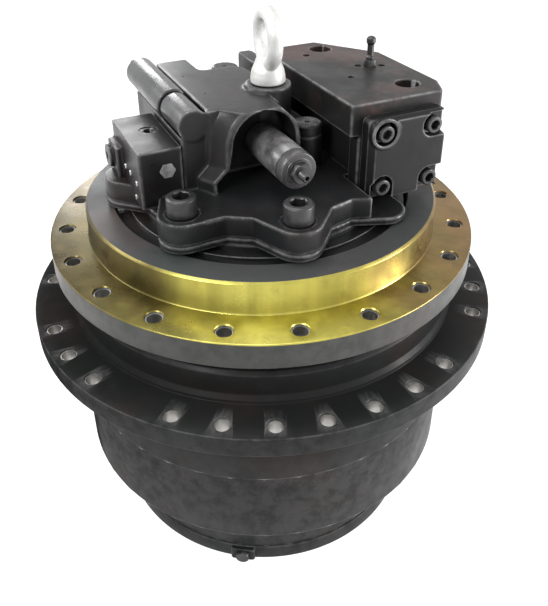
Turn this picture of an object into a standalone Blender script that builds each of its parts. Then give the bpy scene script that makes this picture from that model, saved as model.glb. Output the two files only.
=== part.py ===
"""Final drive of a crawler excavator: a two-stage planetary hub turned by a piston motor.

The axis of the drive is +Z. The origin is the middle of the end cover's resting face, and the
motor is at the top. Lengths are in metres and angles in radians.
"""

import math

import bmesh
import bpy
from mathutils import Euler, Matrix, Vector

FULL_TURN = 2 * math.pi
HALF_TURN = math.pi
RIGHT_ANGLE = math.pi / 2

# Clearances
SEAT_GAP = 0.0003
RUNNING_GAP = 0.0005
MERGE_LIMIT = 0.000001
CUT_OVERRUN = 0.004
JOIN_OVERLAP = 0.002

# Facets round a turned piece
HOUSING_STEPS = 40
INNER_STEPS = 20
SMALL_STEPS = 16
HOLE_STEPS = 8
SCREW_STEPS = 12
HEXAGON_STEPS = 6

# Edges sharper than this are bevelled
EDGE_ANGLE = math.radians(40)

# Heights of the housing, stacked from the resting face
COVER_THICKNESS = 0.020
RING_1_LENGTH = 0.071
RING_2_LENGTH = 0.091
HUB_LENGTH = 0.140
SEAL_GAP_HEIGHT = 0.022
MOUNT_FLANGE_THICKNESS = 0.028
SPIGOT_HEIGHT = 0.036
CASE_WALL_HEIGHT = 0.010

RING_1_BASE = COVER_THICKNESS
RING_2_BASE = RING_1_BASE + RING_1_LENGTH
HUB_BASE = RING_2_BASE + RING_2_LENGTH
HUB_TOP = HUB_BASE + HUB_LENGTH
MOUNT_FLANGE_BASE = HUB_TOP + SEAL_GAP_HEIGHT
MOUNT_FACE = MOUNT_FLANGE_BASE + MOUNT_FLANGE_THICKNESS
SPIGOT_TOP = MOUNT_FACE + SPIGOT_HEIGHT
MOTOR_JOINT = SPIGOT_TOP + CASE_WALL_HEIGHT

# Main bearings, a pair of single-row tapered bearings back to back
BEARING_BORE_RADIUS = 0.110
BEARING_SECTION = 0.0375
BEARING_OUTER_RADIUS = BEARING_BORE_RADIUS + BEARING_SECTION
BEARING_WIDTH = 0.033
BEARING_SPACING = 0.015
BEARING_TAPER = 0.006
CONE_THICKNESS = 0.022
ROLLER_TOP_RADIUS = BEARING_BORE_RADIUS + CONE_THICKNESS
UPPER_BEARING_TOP_DEPTH = 0.019
UPPER_BEARING_TOP = HUB_TOP - UPPER_BEARING_TOP_DEPTH
UPPER_BEARING_BASE = UPPER_BEARING_TOP - BEARING_WIDTH
LOWER_BEARING_TOP = UPPER_BEARING_BASE - BEARING_SPACING
LOWER_BEARING_BASE = LOWER_BEARING_TOP - BEARING_WIDTH
BEARING_LEDGE = 0.0085
BEARING_SHOULDER_RADIUS = BEARING_OUTER_RADIUS - BEARING_LEDGE

# Sprocket hub, sized outwards from its bearings
HUB_CAVITY_STEP = 0.0425
HUB_WALL = 0.0365
HUB_NECK_STEP = 0.0045
PILOT_STEP = 0.001
SPROCKET_RIM_WIDTH = 0.0435
SPROCKET_BOLT_EDGE = 0.017
HUB_CAVITY_RADIUS = BEARING_OUTER_RADIUS + HUB_CAVITY_STEP
HUB_SKIRT_RADIUS = HUB_CAVITY_RADIUS + HUB_WALL
HUB_NECK_RADIUS = HUB_SKIRT_RADIUS - HUB_NECK_STEP
PILOT_HEIGHT = 0.004
PILOT_RADIUS = HUB_SKIRT_RADIUS - PILOT_STEP
SPROCKET_FLANGE_RADIUS = HUB_SKIRT_RADIUS + SPROCKET_RIM_WIDTH
SPROCKET_FLANGE_THICKNESS = 0.022
SPROCKET_SEAT_HEIGHT = 0.083
HUB_CAVITY_DEPTH = 0.026
SPROCKET_BOLT_RADIUS = SPROCKET_FLANGE_RADIUS - SPROCKET_BOLT_EDGE
SPROCKET_BOLT_PITCHES = 32
SPROCKET_BOLT_GROUPS = (7, 3, 3, 7, 3, 3)
SPROCKET_BOLT_START = math.radians(-110)
BOLT_HOLE_RADIUS = 0.0088
HUB_RIM_CHAMFER = 0.003

# Floating seal between the case and the hub
SEAL_STEP = 0.0175
SEAL_SECTION = 0.013
SEAL_CLEARANCE = 0.0008
SEAL_WALL_GAP = 0.0025
SEAL_OUTER_RADIUS = BEARING_OUTER_RADIUS + SEAL_STEP
SEAL_INNER_RADIUS = SEAL_OUTER_RADIUS - SEAL_SECTION
SEAL_RING_HEIGHT = 0.0155
SEAL_RIB_HEIGHT = 0.006
SEAL_RECESS_RADIUS = SEAL_OUTER_RADIUS + SEAL_CLEARANCE
SEAL_WALL_RADIUS = SEAL_INNER_RADIUS - SEAL_WALL_GAP

# Motor case with its mounting flange and spindle
MOUNT_BOLTS = 20
SPIGOT_CHAMFER = 0.0025
CASE_NECK_WALL = 0.0392
MOUNT_RIM_WIDTH = 0.035
MOUNT_BOLT_EDGE = 0.018
SPIGOT_STEP = 0.0075
CASE_NECK_RADIUS = SEAL_RECESS_RADIUS + CASE_NECK_WALL
MOUNT_FLANGE_RADIUS = CASE_NECK_RADIUS + MOUNT_RIM_WIDTH
MOUNT_BOLT_RADIUS = MOUNT_FLANGE_RADIUS - MOUNT_BOLT_EDGE
SPIGOT_RADIUS = CASE_NECK_RADIUS - SPIGOT_STEP
CASE_NECK_GAP = 0.003
SPINDLE_WALL = 0.014
CASE_SOCKET_WALL = 0.011
CASE_BORE_RIM = 0.020
BRAKE_RIM = 0.007
CASE_WALL = 0.013
COVER_BOLT_EDGE = 0.023
COVER_VALLEY_DEPTH = 0.010
CASE_BASE_RIM = 0.020
CASE_SOCKET_RADIUS = BEARING_BORE_RADIUS - SPINDLE_WALL
CASE_POCKET_RADIUS = CASE_SOCKET_RADIUS - CASE_SOCKET_WALL
CASE_BORE_RADIUS = CASE_POCKET_RADIUS + CASE_BORE_RIM
BRAKE_BORE_RADIUS = CASE_BORE_RADIUS + BRAKE_RIM
CASE_BODY_RADIUS = BRAKE_BORE_RADIUS + CASE_WALL
COVER_BOLT_RADIUS = CASE_BODY_RADIUS + COVER_BOLT_EDGE
COVER_FLANGE_RADIUS = COVER_BOLT_RADIUS - COVER_VALLEY_DEPTH
CASE_WALL_RADIUS = COVER_FLANGE_RADIUS
CASE_BASE_RADIUS = COVER_BOLT_RADIUS + CASE_BASE_RIM
CASE_BASE_HEIGHT = 0.004
CASE_STEP_HEIGHT = 0.030
CASE_BORE_STEP = 0.006
SPINDLE_STEP = 0.010
SPINDLE_SPLINE_RADIUS = BEARING_BORE_RADIUS - SPINDLE_STEP
SPINDLE_SPLINE_LENGTH = 0.044
SPINDLE_BORE_RADIUS = 0.060
NUT_THICKNESS = 0.015
CASE_FLOOR_TOP_DEPTH = 0.072
CASE_FLOOR_THICKNESS = 0.038
SHAFT_SEAL_RADIUS = 0.036
FRONT_BEARING_RADIUS = 0.045
SHAFT_SEAL_DEPTH = 0.006
CASE_FLOOR_TOP = MOUNT_FACE - CASE_FLOOR_TOP_DEPTH
CASE_FLOOR_BASE = CASE_FLOOR_TOP - CASE_FLOOR_THICKNESS
FRONT_BEARING_BASE = CASE_FLOOR_BASE + SHAFT_SEAL_DEPTH
SPINDLE_END = LOWER_BEARING_BASE - SPINDLE_SPLINE_LENGTH
BEARING_SEAT_RADIUS = BEARING_BORE_RADIUS - SEAT_GAP
CASE_STEP = CASE_FLOOR_TOP + CASE_STEP_HEIGHT

# Lobes round the rear cover bolts
COVER_LOBE_RADIUS = 0.025
COVER_LOBES = 8
COVER_LOBE_START = math.radians(-100)
COVER_BOLT_LOBES = (0, 3, 4, 7)
COVER_FLANGE_THICKNESS = 0.024
LOBE_ARC_STEPS = 5
LOBE_VALLEY_STEPS = 2
LOBE_BLEND_SHARE = 0.62

# Planetary gears: both stages have the same tooth counts
SUN_TEETH = 15
PLANET_TEETH = 21
RING_TEETH = SUN_TEETH + 2 * PLANET_TEETH
PLANETS = 3
PLANET_START = RIGHT_ANGLE
PRESSURE_ANGLE = math.radians(20)
ADDENDUM_SHARE = 0.82
DEDENDUM_SHARE = 1.12
RING_ADDENDUM_SHARE = 0.80
PITCH_POINT_SHARE = 0.15
TOOTH_PLAY = 0.00030
RING_TOOTH_PLAY = 0.00080
MODULE_1 = 0.0055
MODULE_2 = 0.0065

# First stage, beside the end cover
RING_1_WALL = 0.03125
RING_1_RADIUS = MODULE_1 * RING_TEETH / 2 + RING_1_WALL
PLANET_1_WIDTH = 0.042
PLANET_1_BASE_HEIGHT = 0.014
PIN_1_RADIUS = 0.018
PIN_1_OVERRUN = 0.003
CARRIER_1_GAP = 0.004
CARRIER_1_THICKNESS = 0.018
CARRIER_1_EDGE = 0.012
CARRIER_ARM_ANGLE = math.radians(75)
CARRIER_ARM_STEPS = 6
PLANET_1_BASE = RING_1_BASE + PLANET_1_BASE_HEIGHT
PLANET_1_TOP = PLANET_1_BASE + PLANET_1_WIDTH
CARRIER_1_BASE = PLANET_1_TOP + CARRIER_1_GAP
CARRIER_1_TOP = CARRIER_1_BASE + CARRIER_1_THICKNESS

# Second stage, inside the second ring gear
RING_2_STEP = 0.0005
RING_2_RADIUS = HUB_SKIRT_RADIUS - RING_2_STEP
RING_2_LIP_RADIUS = 0.158
RING_2_LIP_THICKNESS = 0.012
PLANET_2_GAP = 0.010
PLANET_2_WIDTH = 0.062
PIN_2_RADIUS = 0.022
PIN_2_OVERRUN = 0.005
CARRIER_2_GAP = 0.003
CARRIER_2_THICKNESS = 0.022
CARRIER_2_EDGE = 0.012
PLANET_2_BASE = CARRIER_1_TOP + PLANET_2_GAP
PLANET_2_TOP = PLANET_2_BASE + PLANET_2_WIDTH
CARRIER_2_BASE = PLANET_2_TOP + CARRIER_2_GAP
CARRIER_2_TOP = CARRIER_2_BASE + CARRIER_2_THICKNESS
BUSH_GAP = 0.0006

# Sun gears and the shafts between them
SUN_1_SHAFT_RADIUS = 0.021
SUN_2_BORE_RADIUS = 0.025
SUN_2_STUB_RADIUS = 0.036
THRUST_PAD_RADIUS = 0.030
COUPLING_RADIUS = 0.032
COUPLING_LENGTH = 0.037
SHAFT_NECK_RADIUS = 0.025
SHAFT_SPLINE_RADIUS = 0.022
SHAFT_TAIL_RADIUS = 0.0125
COUPLING_BASE = CASE_FLOOR_BASE - COUPLING_LENGTH
COUPLING_OVERLAP = 0.031
SUN_1_SHAFT_TOP = COUPLING_BASE + COUPLING_OVERLAP

# Piston motor
SWASH_CLEARANCE = 0.007
SWASH_RADIUS = CASE_POCKET_RADIUS - SWASH_CLEARANCE
SWASH_FLAT_DEPTH = 0.016
SWASH_FLAT = SWASH_RADIUS - SWASH_FLAT_DEPTH
SWASH_BORE_RADIUS = 0.030
SWASH_HEIGHT = 0.022
SWASH_ARC_STEPS = 12
BLOCK_CLEARANCE = 0.015
BLOCK_RADIUS = CASE_POCKET_RADIUS - BLOCK_CLEARANCE
PISTONS = 9
PISTON_RADIUS = 0.0095
PISTON_EDGE = 0.022
PISTON_CIRCLE_RADIUS = BLOCK_RADIUS - PISTON_EDGE
PISTON_LENGTH = 0.054
RETAINER_EDGE = 0.009
RETAINER_RADIUS = BLOCK_RADIUS - RETAINER_EDGE
RETAINER_BORE_RADIUS = 0.034
RETAINER_THICKNESS = 0.004
RETAINER_LIFT = 0.002
BLOCK_LENGTH = 0.073
BLOCK_BORE_DEPTH = 0.044
PISTON_PLAY = 0.0003
VALVE_PLATE_EDGE = 0.008
VALVE_PLATE_RADIUS = BLOCK_RADIUS - VALVE_PLATE_EDGE
VALVE_PLATE_BORE_RADIUS = 0.027
VALVE_PLATE_THICKNESS = 0.0034
PORT_SLOT_RADIUS = PISTON_CIRCLE_RADIUS
PORT_SLOT_WIDTH = 0.012
PORT_SLOT_ANGLE = math.radians(65)
PORT_SLOT_STEPS = 6
BLOCK_TOP = MOTOR_JOINT - SEAT_GAP - VALVE_PLATE_THICKNESS - SEAT_GAP
BLOCK_BASE = BLOCK_TOP - BLOCK_LENGTH
SWASH_BASE = CASE_FLOOR_TOP + SEAT_GAP
SWASH_TOP = SWASH_BASE + SWASH_HEIGHT
REAR_BEARING_RADIUS = 0.026
REAR_BEARING_WIDTH = 0.0135
SHAFT_TOP = MOTOR_JOINT + REAR_BEARING_WIDTH

# Parking brake inside the case
BRAKE_STEP_DEPTH = 0.040
STEEL_PLATE_THICKNESS = 0.0050
FRICTION_PLATE_THICKNESS = 0.0045
BRAKE_PISTON_HEIGHT = 0.019
BRAKE_PISTON_CLEARANCE = 0.007
STEEL_PLATE_CLEARANCE = 0.004
FRICTION_PLATE_CLEARANCE = 0.014
BRAKE_SPRING_RIM = 0.005
BRAKE_SPRING_CLEARANCE = 0.006
BRAKE_PISTON_BORE_RADIUS = BLOCK_RADIUS + BRAKE_PISTON_CLEARANCE
STEEL_PLATE_BORE_RADIUS = BLOCK_RADIUS + STEEL_PLATE_CLEARANCE
FRICTION_PLATE_RADIUS = BRAKE_BORE_RADIUS - FRICTION_PLATE_CLEARANCE
BRAKE_SPRING_INNER_RADIUS = BRAKE_PISTON_BORE_RADIUS + BRAKE_SPRING_RIM
BRAKE_SPRING_OUTER_RADIUS = BRAKE_BORE_RADIUS - BRAKE_SPRING_CLEARANCE
BRAKE_SPRING_THICKNESS = 0.0025
BRAKE_SPRING_DISH = 0.0028
BRAKE_STEP = MOTOR_JOINT - BRAKE_STEP_DEPTH
STEEL_PLATE_BASE = BRAKE_STEP + SEAT_GAP
FRICTION_PLATE_BASE = STEEL_PLATE_BASE + STEEL_PLATE_THICKNESS + SEAT_GAP
BRAKE_PISTON_BASE = FRICTION_PLATE_BASE + FRICTION_PLATE_THICKNESS + SEAT_GAP
BRAKE_PISTON_TOP = BRAKE_PISTON_BASE + BRAKE_PISTON_HEIGHT

# End cover
COVER_OVERHANG = 0.002
COVER_RADIUS = RING_1_RADIUS + COVER_OVERHANG
COVER_CHAMFER = 0.002
COVER_SCREWS = 12
COVER_SCREW_EDGE = 0.0155
COVER_SCREW_CIRCLE = COVER_RADIUS - COVER_SCREW_EDGE
COVER_SCREW_RADIUS = 0.0105
COVER_SCREW_DEPTH = 0.012
OIL_PAD_WIDTH = 0.029
OIL_PAD_REACH = 0.0045
OIL_PAD_HEIGHT = 0.019
OIL_PLUG_RADIUS = 0.0060
OIL_PLUG_HEX_RADIUS = 0.0085
OIL_PLUG_LENGTH = 0.014
OIL_PLUG_HEAD = 0.004
OIL_PLUG_ANGLE = math.radians(-98)
OIL_PLUG_HEIGHT = 0.0100

# The motor stands turned about the axis of the drive. Its own X and Y run along its valve blocks,
# and its heights are measured from the joint between the case and the rear cover.
MOTOR_TURN = math.radians(24)
CASTING_TOP = 0.107
FLANGE_TOP = COVER_FLANGE_THICKNESS

# Rear cover casting
BODY_LEFT = -0.076
BODY_RIGHT = 0.012
BODY_FRONT = -0.045
BODY_BACK = 0.080
BODY_TONGUE_RIGHT = -0.038
BODY_TONGUE_BACK = 0.128
BODY_CORNER = 0.010
HOOD_CENTRE_X = -0.012
HOOD_CENTRE_HEIGHT = 0.055
HOOD_RADIUS = 0.064
HOOD_OPENING_RADIUS = 0.048
HOOD_STEP = 0.014
HOOD_STEP_HEIGHT = 0.018
HOOD_STEP_DROP = 0.012
HOOD_FRONT = -0.064
HOOD_BACK = -0.020
HOOD_RECESS_BACK = -0.022
HOOD_ARC_STEPS = 9
SHELF_RIGHT = 0.055
SHELF_FRONT = -0.040
SHELF_HEIGHT = 0.062
LEDGE_RIGHT = 0.068
LEDGE_FRONT = -0.078
LEDGE_HEIGHT = 0.046
EYE_X = 0.009
EYE_Y = -0.004
EYE_BOSS_RADIUS = 0.025
EYE_BOSS_TOP = 0.112
SADDLE_LEFT = -0.104
SADDLE_HEIGHT = 0.090
SADDLE_BACK = 0.118
SADDLE_FRONT = -0.030
REAR_BLOCK_LEFT = -0.030
REAR_BLOCK_RIGHT = 0.020
REAR_BLOCK_BACK = 0.122
REAR_BLOCK_HEIGHT = 0.078
REAR_BOSS_X = 0.002
REAR_BOSS_Y = 0.104
REAR_BOSS_RADIUS = 0.016
REAR_BOSS_TOP = 0.100
LUG_X = 0.036
LUG_WIDTH = 0.018
LUG_BACK = 0.125
LUG_TOP = 0.108
NOTCH_LEFT = 0.062
NOTCH_FRONT = -0.080

# Relief valves, one at each end of the cover's cross passage
RELIEF_X = -0.008
RELIEF_HEIGHT = 0.057
RELIEF_RADIUS = 0.0195
RELIEF_FRONT_LENGTH = 0.090
RELIEF_REAR_LENGTH = 0.033
RELIEF_EDGE = 0.0020
RELIEF_NOSE_RADIUS = 0.0120
RELIEF_NOSE_LENGTH = 0.016
RELIEF_SOCKET_RADIUS = 0.0078
RELIEF_SOCKET_DEPTH = 0.014
LOCKNUT_RADIUS = 0.0115
LOCKNUT_HEIGHT = 0.0070
ADJUSTER_RADIUS = 0.0050
ADJUSTER_LENGTH = 0.0170

# Round housing of the speed selector's spool
SPEED_X = -0.090
SPEED_HEIGHT = 0.094
SPEED_RADIUS = 0.0175
SPEED_NOSE_RADIUS = 0.0160
SPEED_BACK = 0.146
SPEED_GROOVE = 0.018
SPEED_GROOVE_WIDTH = 0.005
SPEED_GROOVE_RADIUS = 0.0125
SPEED_FRONT = -0.044
SPEED_SPOOL_RADIUS = 0.0080
SPEED_SPOOL_LENGTH = 0.110
SPEED_SPOOL_PLAY = 0.0003
SPEED_WAIST_DEPTH = 0.0020
SPEED_WAIST_SHARES = (0.30, 0.42, 0.62, 0.74)
SPEED_TRAVEL = 0.008
SPEED_PLUG_LENGTH = 0.014
SPEED_PLUG_HEAD = 0.009
SPEED_PLUG_HEX_RADIUS = 0.0155

# Brake valve block on the left
LEFT_BLOCK_LEFT = -0.150
LEFT_BLOCK_RIGHT = -0.1045
LEFT_BLOCK_FRONT = -0.046
LEFT_BLOCK_BACK = 0.056
LEFT_BLOCK_TOP = 0.076
LEFT_BLOCK_BEVEL = 0.0025
LEFT_PORT_X = -0.123
LEFT_PORT_Y = 0.009
LEFT_PORT_RADIUS = 0.0055
LEFT_PORT_DEPTH = 0.018
LEFT_SPOTFACE_RADIUS = 0.0100
LEFT_SPOTFACE_DEPTH = 0.0010
SIDE_BOSS_Y = 0.036
SIDE_BOSS_HEIGHT = 0.044
SIDE_BOSS_RADIUS = 0.0125
SIDE_BOSS_LENGTH = 0.013

# Counterbalance valve block on the right
RIGHT_BLOCK_LEFT = 0.0565
RIGHT_BLOCK_RIGHT = 0.179
RIGHT_BLOCK_FRONT = -0.099
RIGHT_BLOCK_BACK = 0.117
RIGHT_BLOCK_SIDE_BACK = 0.044
RIGHT_BLOCK_BACK_RIGHT = 0.129
RIGHT_CORNER_X = 0.013
RIGHT_CORNER_Y = 0.027
RIGHT_BLOCK_TOP = 0.109
RIGHT_PLATE_THICKNESS = 0.034
RIGHT_CORE_LEFT = 0.070
RIGHT_CORE_RIGHT = 0.160
RIGHT_CORE_BACK = 0.046
RIGHT_FOOT_LEFT = 0.066
RIGHT_FOOT_RIGHT = 0.164
RIGHT_FOOT_BACK = -0.0805
RIGHT_FOOT_BASE = 0.007
RIGHT_BLOCK_BEVEL = 0.003
PORT_RADIUS = 0.0130
PORT_DEPTH = 0.026
PORT_PLACES = ((0.122, 0.087), (0.144, -0.066))
TAPPED_RADIUS = 0.0045
TAPPED_DEPTH = 0.016
TAPPED_PLACES = ((0.094, 0.070), (0.101, -0.022), (0.129, 0.009), (0.153, -0.002))

# Counterbalance spool with its cap and its plug
SPOOL_X = 0.115
SPOOL_HEIGHT = 0.051
SPOOL_RADIUS = 0.0150
SPOOL_WAIST_DEPTH = 0.0040
SPOOL_WAIST_SHARES = (0.16, 0.22, 0.42, 0.58, 0.78, 0.84)
SPOOL_PLAY = 0.0003
CAP_WIDTH = 0.092
CAP_BASE = 0.006
CAP_TOP = 0.096
CAP_THICKNESS = 0.019
CAP_EDGE = 0.0030
CAP_SCREW_SPAN_X = 0.058
CAP_SCREW_SPAN_Z = 0.060
CAP_PAD_THICKNESS = 0.009
CAP_POCKET_RADIUS = 0.0125
CHAMBER_RADIUS = 0.0170
CHAMBER_DEPTH = 0.010
CAP_SCREW_RADIUS = 0.0060
CAP_SCREW_HEAD_RADIUS = 0.0090
CAP_SCREW_HEAD = 0.012
CAP_SCREW_GRIP = 0.019
CAP_SCREW_CLEARANCE = 0.0007
SPOOL_PLUG_RADIUS = 0.0225
SPOOL_PLUG_THICKNESS = 0.013
SPOOL_PLUG_HEX_RADIUS = 0.0150
SPOOL_PLUG_HEX_HEIGHT = 0.007
SOCKET_DEPTH_SHARE = 0.5
SOCKET_WIDTH_SHARE = 0.60

# Rear cover bolts, M20 socket head
BOLT_SHANK_RADIUS = 0.0100
BOLT_HEAD_RADIUS = 0.0150
BOLT_HEAD_HEIGHT = 0.0200
BOLT_GRIP = 0.022
BOLT_CLEARANCE = 0.0010

# Small pieces on top
PLUG_X = 0.039
PLUG_Y = -0.038
PLUG_RADIUS = 0.0160
PLUG_HEAD = 0.0115
PLUG_SHANK_RADIUS = 0.0080
PLUG_SHANK_LENGTH = 0.012
PLUG_DIMPLE_RADIUS = 0.0030
PLUG_DIMPLE_DEPTH = 0.005
NIPPLE_X = 0.141
NIPPLE_Y = 0.004
NIPPLE_HEX_RADIUS = 0.0080
NIPPLE_HEX_HEIGHT = 0.007
NIPPLE_RADIUS = 0.0052
NIPPLE_WAIST_RADIUS = 0.0038
NIPPLE_HEIGHT = 0.033
NIPPLE_HEAD_HEIGHT = 0.009
NIPPLE_SHANK = 0.010

# Lifting eye bolt
EYE_COLLAR_RADIUS = 0.020
EYE_COLLAR_HEIGHT = 0.011
EYE_SHANK_RADIUS = 0.0095
EYE_SHANK_LENGTH = 0.024
EYE_RING_RADIUS = 0.0262
EYE_WIRE_RADIUS = 0.0078
EYE_RING_LIFT = 0.036
EYE_NECK_RADIUS = 0.0115
EYE_NECK_HEIGHT = 0.011
EYE_TURN = math.radians(83)
EYE_RING_STEPS = 20
EYE_WIRE_STEPS = 8

PART_NAME = "excavator_final_drive"


def clear_scene():
    """Removes whatever the scene holds."""
    for obj in list(bpy.data.objects):
        bpy.data.objects.remove(obj, do_unlink=True)


def new_collection(name):
    collection = bpy.data.collections.new(name)
    bpy.context.scene.collection.children.link(collection)
    return collection


clear_scene()
PARTS = new_collection(PART_NAME)
CUTTERS = new_collection("cutters")
CUTTERS.hide_render = True


def material(name, colour, roughness, metallic):
    """A Principled material, made once for each name."""
    found = bpy.data.materials.get(name)
    if found:
        return found
    made = bpy.data.materials.new(name)
    made.use_nodes = True
    shader = made.node_tree.nodes["Principled BSDF"]
    shader.inputs["Base Color"].default_value = (*colour, 1.0)
    shader.inputs["Roughness"].default_value = roughness
    shader.inputs["Metallic"].default_value = metallic
    made.diffuse_color = (*colour, 1.0)
    return made


def black_paint():
    return material("black_paint", (0.018, 0.019, 0.021), 0.32, 0.0)


def gold_finish():
    return material("gold_finish", (0.62, 0.50, 0.12), 0.30, 1.0)


def dark_steel():
    return material("dark_steel", (0.10, 0.10, 0.11), 0.40, 0.9)


def bright_steel():
    return material("bright_steel", (0.55, 0.55, 0.56), 0.30, 1.0)


def gear_steel():
    return material("gear_steel", (0.35, 0.35, 0.36), 0.35, 1.0)


def bronze():
    return material("bronze", (0.55, 0.38, 0.18), 0.35, 1.0)


def friction_lining():
    return material("friction_lining", (0.16, 0.12, 0.09), 0.85, 0.0)


def white_zinc():
    return material("white_zinc", (0.78, 0.79, 0.78), 0.35, 0.6)


def keep(obj, finish):
    """Shows an object as a piece of the drive."""
    PARTS.objects.link(obj)
    obj.data.materials.clear()
    obj.data.materials.append(finish)
    return obj


def hide(obj):
    """Makes an object a helper that only Booleans read."""
    CUTTERS.objects.link(obj)
    obj.hide_render = True
    obj.display_type = "WIRE"
    return obj


def turned(name, profile, steps=HOUSING_STEPS, closed=True):
    """A turned piece. Its profile of (radius, height) runs down the outer side first."""
    mesh = bpy.data.meshes.new(name)
    edges = [(index, index + 1) for index in range(len(profile) - 1)]
    if closed:
        edges.append((len(profile) - 1, 0))
    mesh.from_pydata([(radius, 0.0, height) for radius, height in profile], edges, [])
    obj = bpy.data.objects.new(name, mesh)
    screw = obj.modifiers.new("turn", "SCREW")
    screw.angle = FULL_TURN
    screw.steps = steps
    screw.render_steps = steps
    screw.use_merge_vertices = True
    screw.merge_threshold = MERGE_LIMIT
    screw.use_smooth_shade = False
    return obj


def disc(name, radius, base, top, steps=SMALL_STEPS):
    """A solid disc or rod about Z between two heights."""
    profile = ((0.0, top), (radius, top), (radius, base), (0.0, base))
    return turned(name, profile, steps, closed=False)


def ring(name, outer, inner, base, top, steps=INNER_STEPS):
    """A flat ring about Z between two heights."""
    return turned(name, ((outer, top), (outer, base), (inner, base), (inner, top)), steps)


def plate(name, outlines, base, top):
    """Flat outlines, the outer one first and its holes after it, given thickness along Z."""
    curve = bpy.data.curves.new(name, "CURVE")
    curve.dimensions = "2D"
    curve.fill_mode = "BOTH"
    curve.extrude = (top - base) / 2
    for outline in outlines:
        spline = curve.splines.new("POLY")
        spline.points.add(len(outline) - 1)
        for point, (x, y) in zip(spline.points, outline):
            point.co = (x, y, 0.0, 1.0)
        spline.use_cyclic_u = True
    flat = bpy.data.objects.new(name, curve)
    bpy.context.scene.collection.objects.link(flat)
    bpy.context.view_layer.update()
    mesh = bpy.data.meshes.new_from_object(flat.evaluated_get(bpy.context.evaluated_depsgraph_get()))
    bpy.data.objects.remove(flat, do_unlink=True)
    work = bmesh.new()
    work.from_mesh(mesh)
    bmesh.ops.remove_doubles(work, verts=work.verts, dist=MERGE_LIMIT)
    bmesh.ops.translate(work, verts=work.verts, vec=(0.0, 0.0, (base + top) / 2))
    bmesh.ops.recalc_face_normals(work, faces=work.faces)
    work.to_mesh(mesh)
    work.free()
    return bpy.data.objects.new(name, mesh)


def box(name, low, high):
    """A block between two corners."""
    mesh = bpy.data.meshes.new(name)
    work = bmesh.new()
    bmesh.ops.create_cube(work, size=1.0)
    low = Vector(low)
    high = Vector(high)
    size = high - low
    place = Matrix.Translation((low + high) / 2) @ Matrix.Diagonal((*size, 1.0))
    bmesh.ops.transform(work, matrix=place, verts=work.verts)
    work.to_mesh(mesh)
    work.free()
    return bpy.data.objects.new(name, mesh)


def rods(name, radius, places, base, top, steps=HOLE_STEPS, turn=0.0):
    """Upright rods at (x, y) places in one helper mesh."""
    mesh = bpy.data.meshes.new(name)
    work = bmesh.new()
    for x, y in places:
        centre = Matrix.Translation((x, y, (base + top) / 2)) @ Matrix.Rotation(turn, 4, "Z")
        bmesh.ops.create_cone(
            work,
            cap_ends=True,
            segments=steps,
            radius1=radius,
            radius2=radius,
            depth=top - base,
            matrix=centre,
        )
    work.to_mesh(mesh)
    work.free()
    return bpy.data.objects.new(name, mesh)


def round_edges(obj, width, segments=1):
    """Bevels the sharp edges of a piece."""
    bevel = obj.modifiers.new("edges", "BEVEL")
    bevel.width = width
    bevel.segments = segments
    bevel.limit_method = "ANGLE"
    bevel.angle_limit = EDGE_ANGLE
    bevel.use_clamp_overlap = True
    return obj


def combine(target, other, operation):
    """Adds a Boolean with a hidden helper that shares the target's parent."""
    if other.name not in CUTTERS.objects:
        hide(other)
    other.parent = target.parent
    modifier = target.modifiers.new(operation.lower(), "BOOLEAN")
    modifier.operation = operation
    modifier.solver = "EXACT"
    modifier.object = other
    return target


def cut(target, other):
    return combine(target, other, "DIFFERENCE")


def join(target, other):
    return combine(target, other, "UNION")


def circle_places(radius, count, start):
    """Places evenly spread on a circle about the axis."""
    angles = [start + index * FULL_TURN / count for index in range(count)]
    return [(radius * math.cos(angle), radius * math.sin(angle)) for angle in angles]


def arc(centre, radius, start, end, points):
    """Points on an arc, ends included."""
    angles = [start + (end - start) * index / (points - 1) for index in range(points)]
    return [(centre[0] + radius * math.cos(a), centre[1] + radius * math.sin(a)) for a in angles]


def along_y(obj, x, height):
    """Lays a piece modelled about Z along the motor's Y, its own height running back."""
    obj.rotation_euler = Euler((-RIGHT_ANGLE, 0.0, 0.0))
    obj.location = (x, 0.0, height)
    return obj


def involute(angle):
    return math.tan(angle) - angle


def tooth_half_angle(teeth, module, radius, play):
    """Half the angle that a tooth spans at a radius, thinned by a play at its pitch circle."""
    pitch_radius = teeth * module / 2
    base_radius = pitch_radius * math.cos(PRESSURE_ANGLE)
    pressure = math.acos(base_radius / max(radius, base_radius))
    half_pitch = HALF_TURN / teeth / 2
    return half_pitch + involute(PRESSURE_ANGLE) - involute(pressure) - play / pitch_radius / 2


def tooth_outline(teeth, module, radii, play, first):
    """The edge of a gear. Each flank passes through the given radii, from root to tip."""
    points = []
    for tooth in range(teeth):
        middle = first + tooth * FULL_TURN / teeth
        for radius in radii:
            points.append((radius, middle - tooth_half_angle(teeth, module, radius, play)))
        for radius in reversed(radii):
            points.append((radius, middle + tooth_half_angle(teeth, module, radius, play)))
    return [(radius * math.cos(angle), radius * math.sin(angle)) for radius, angle in points]


def outer_gear_radii(teeth, module):
    """Radii through which an outer gear's flank is drawn."""
    pitch_radius = teeth * module / 2
    root = pitch_radius - DEDENDUM_SHARE * module
    bend = pitch_radius + PITCH_POINT_SHARE * module
    tip = pitch_radius + ADDENDUM_SHARE * module
    return (root, bend, tip)


def ring_gear_radii(module):
    """Radii of a ring gear's tooth tips and of the bottoms of its spaces."""
    pitch_radius = RING_TEETH * module / 2
    tip = pitch_radius - RING_ADDENDUM_SHARE * module
    return (tip, pitch_radius + DEDENDUM_SHARE * module)


def planet_circle(module):
    return (SUN_TEETH + PLANET_TEETH) * module / 2


def circle_outline(radius, steps):
    return circle_places(radius, steps, 0.0)


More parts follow.
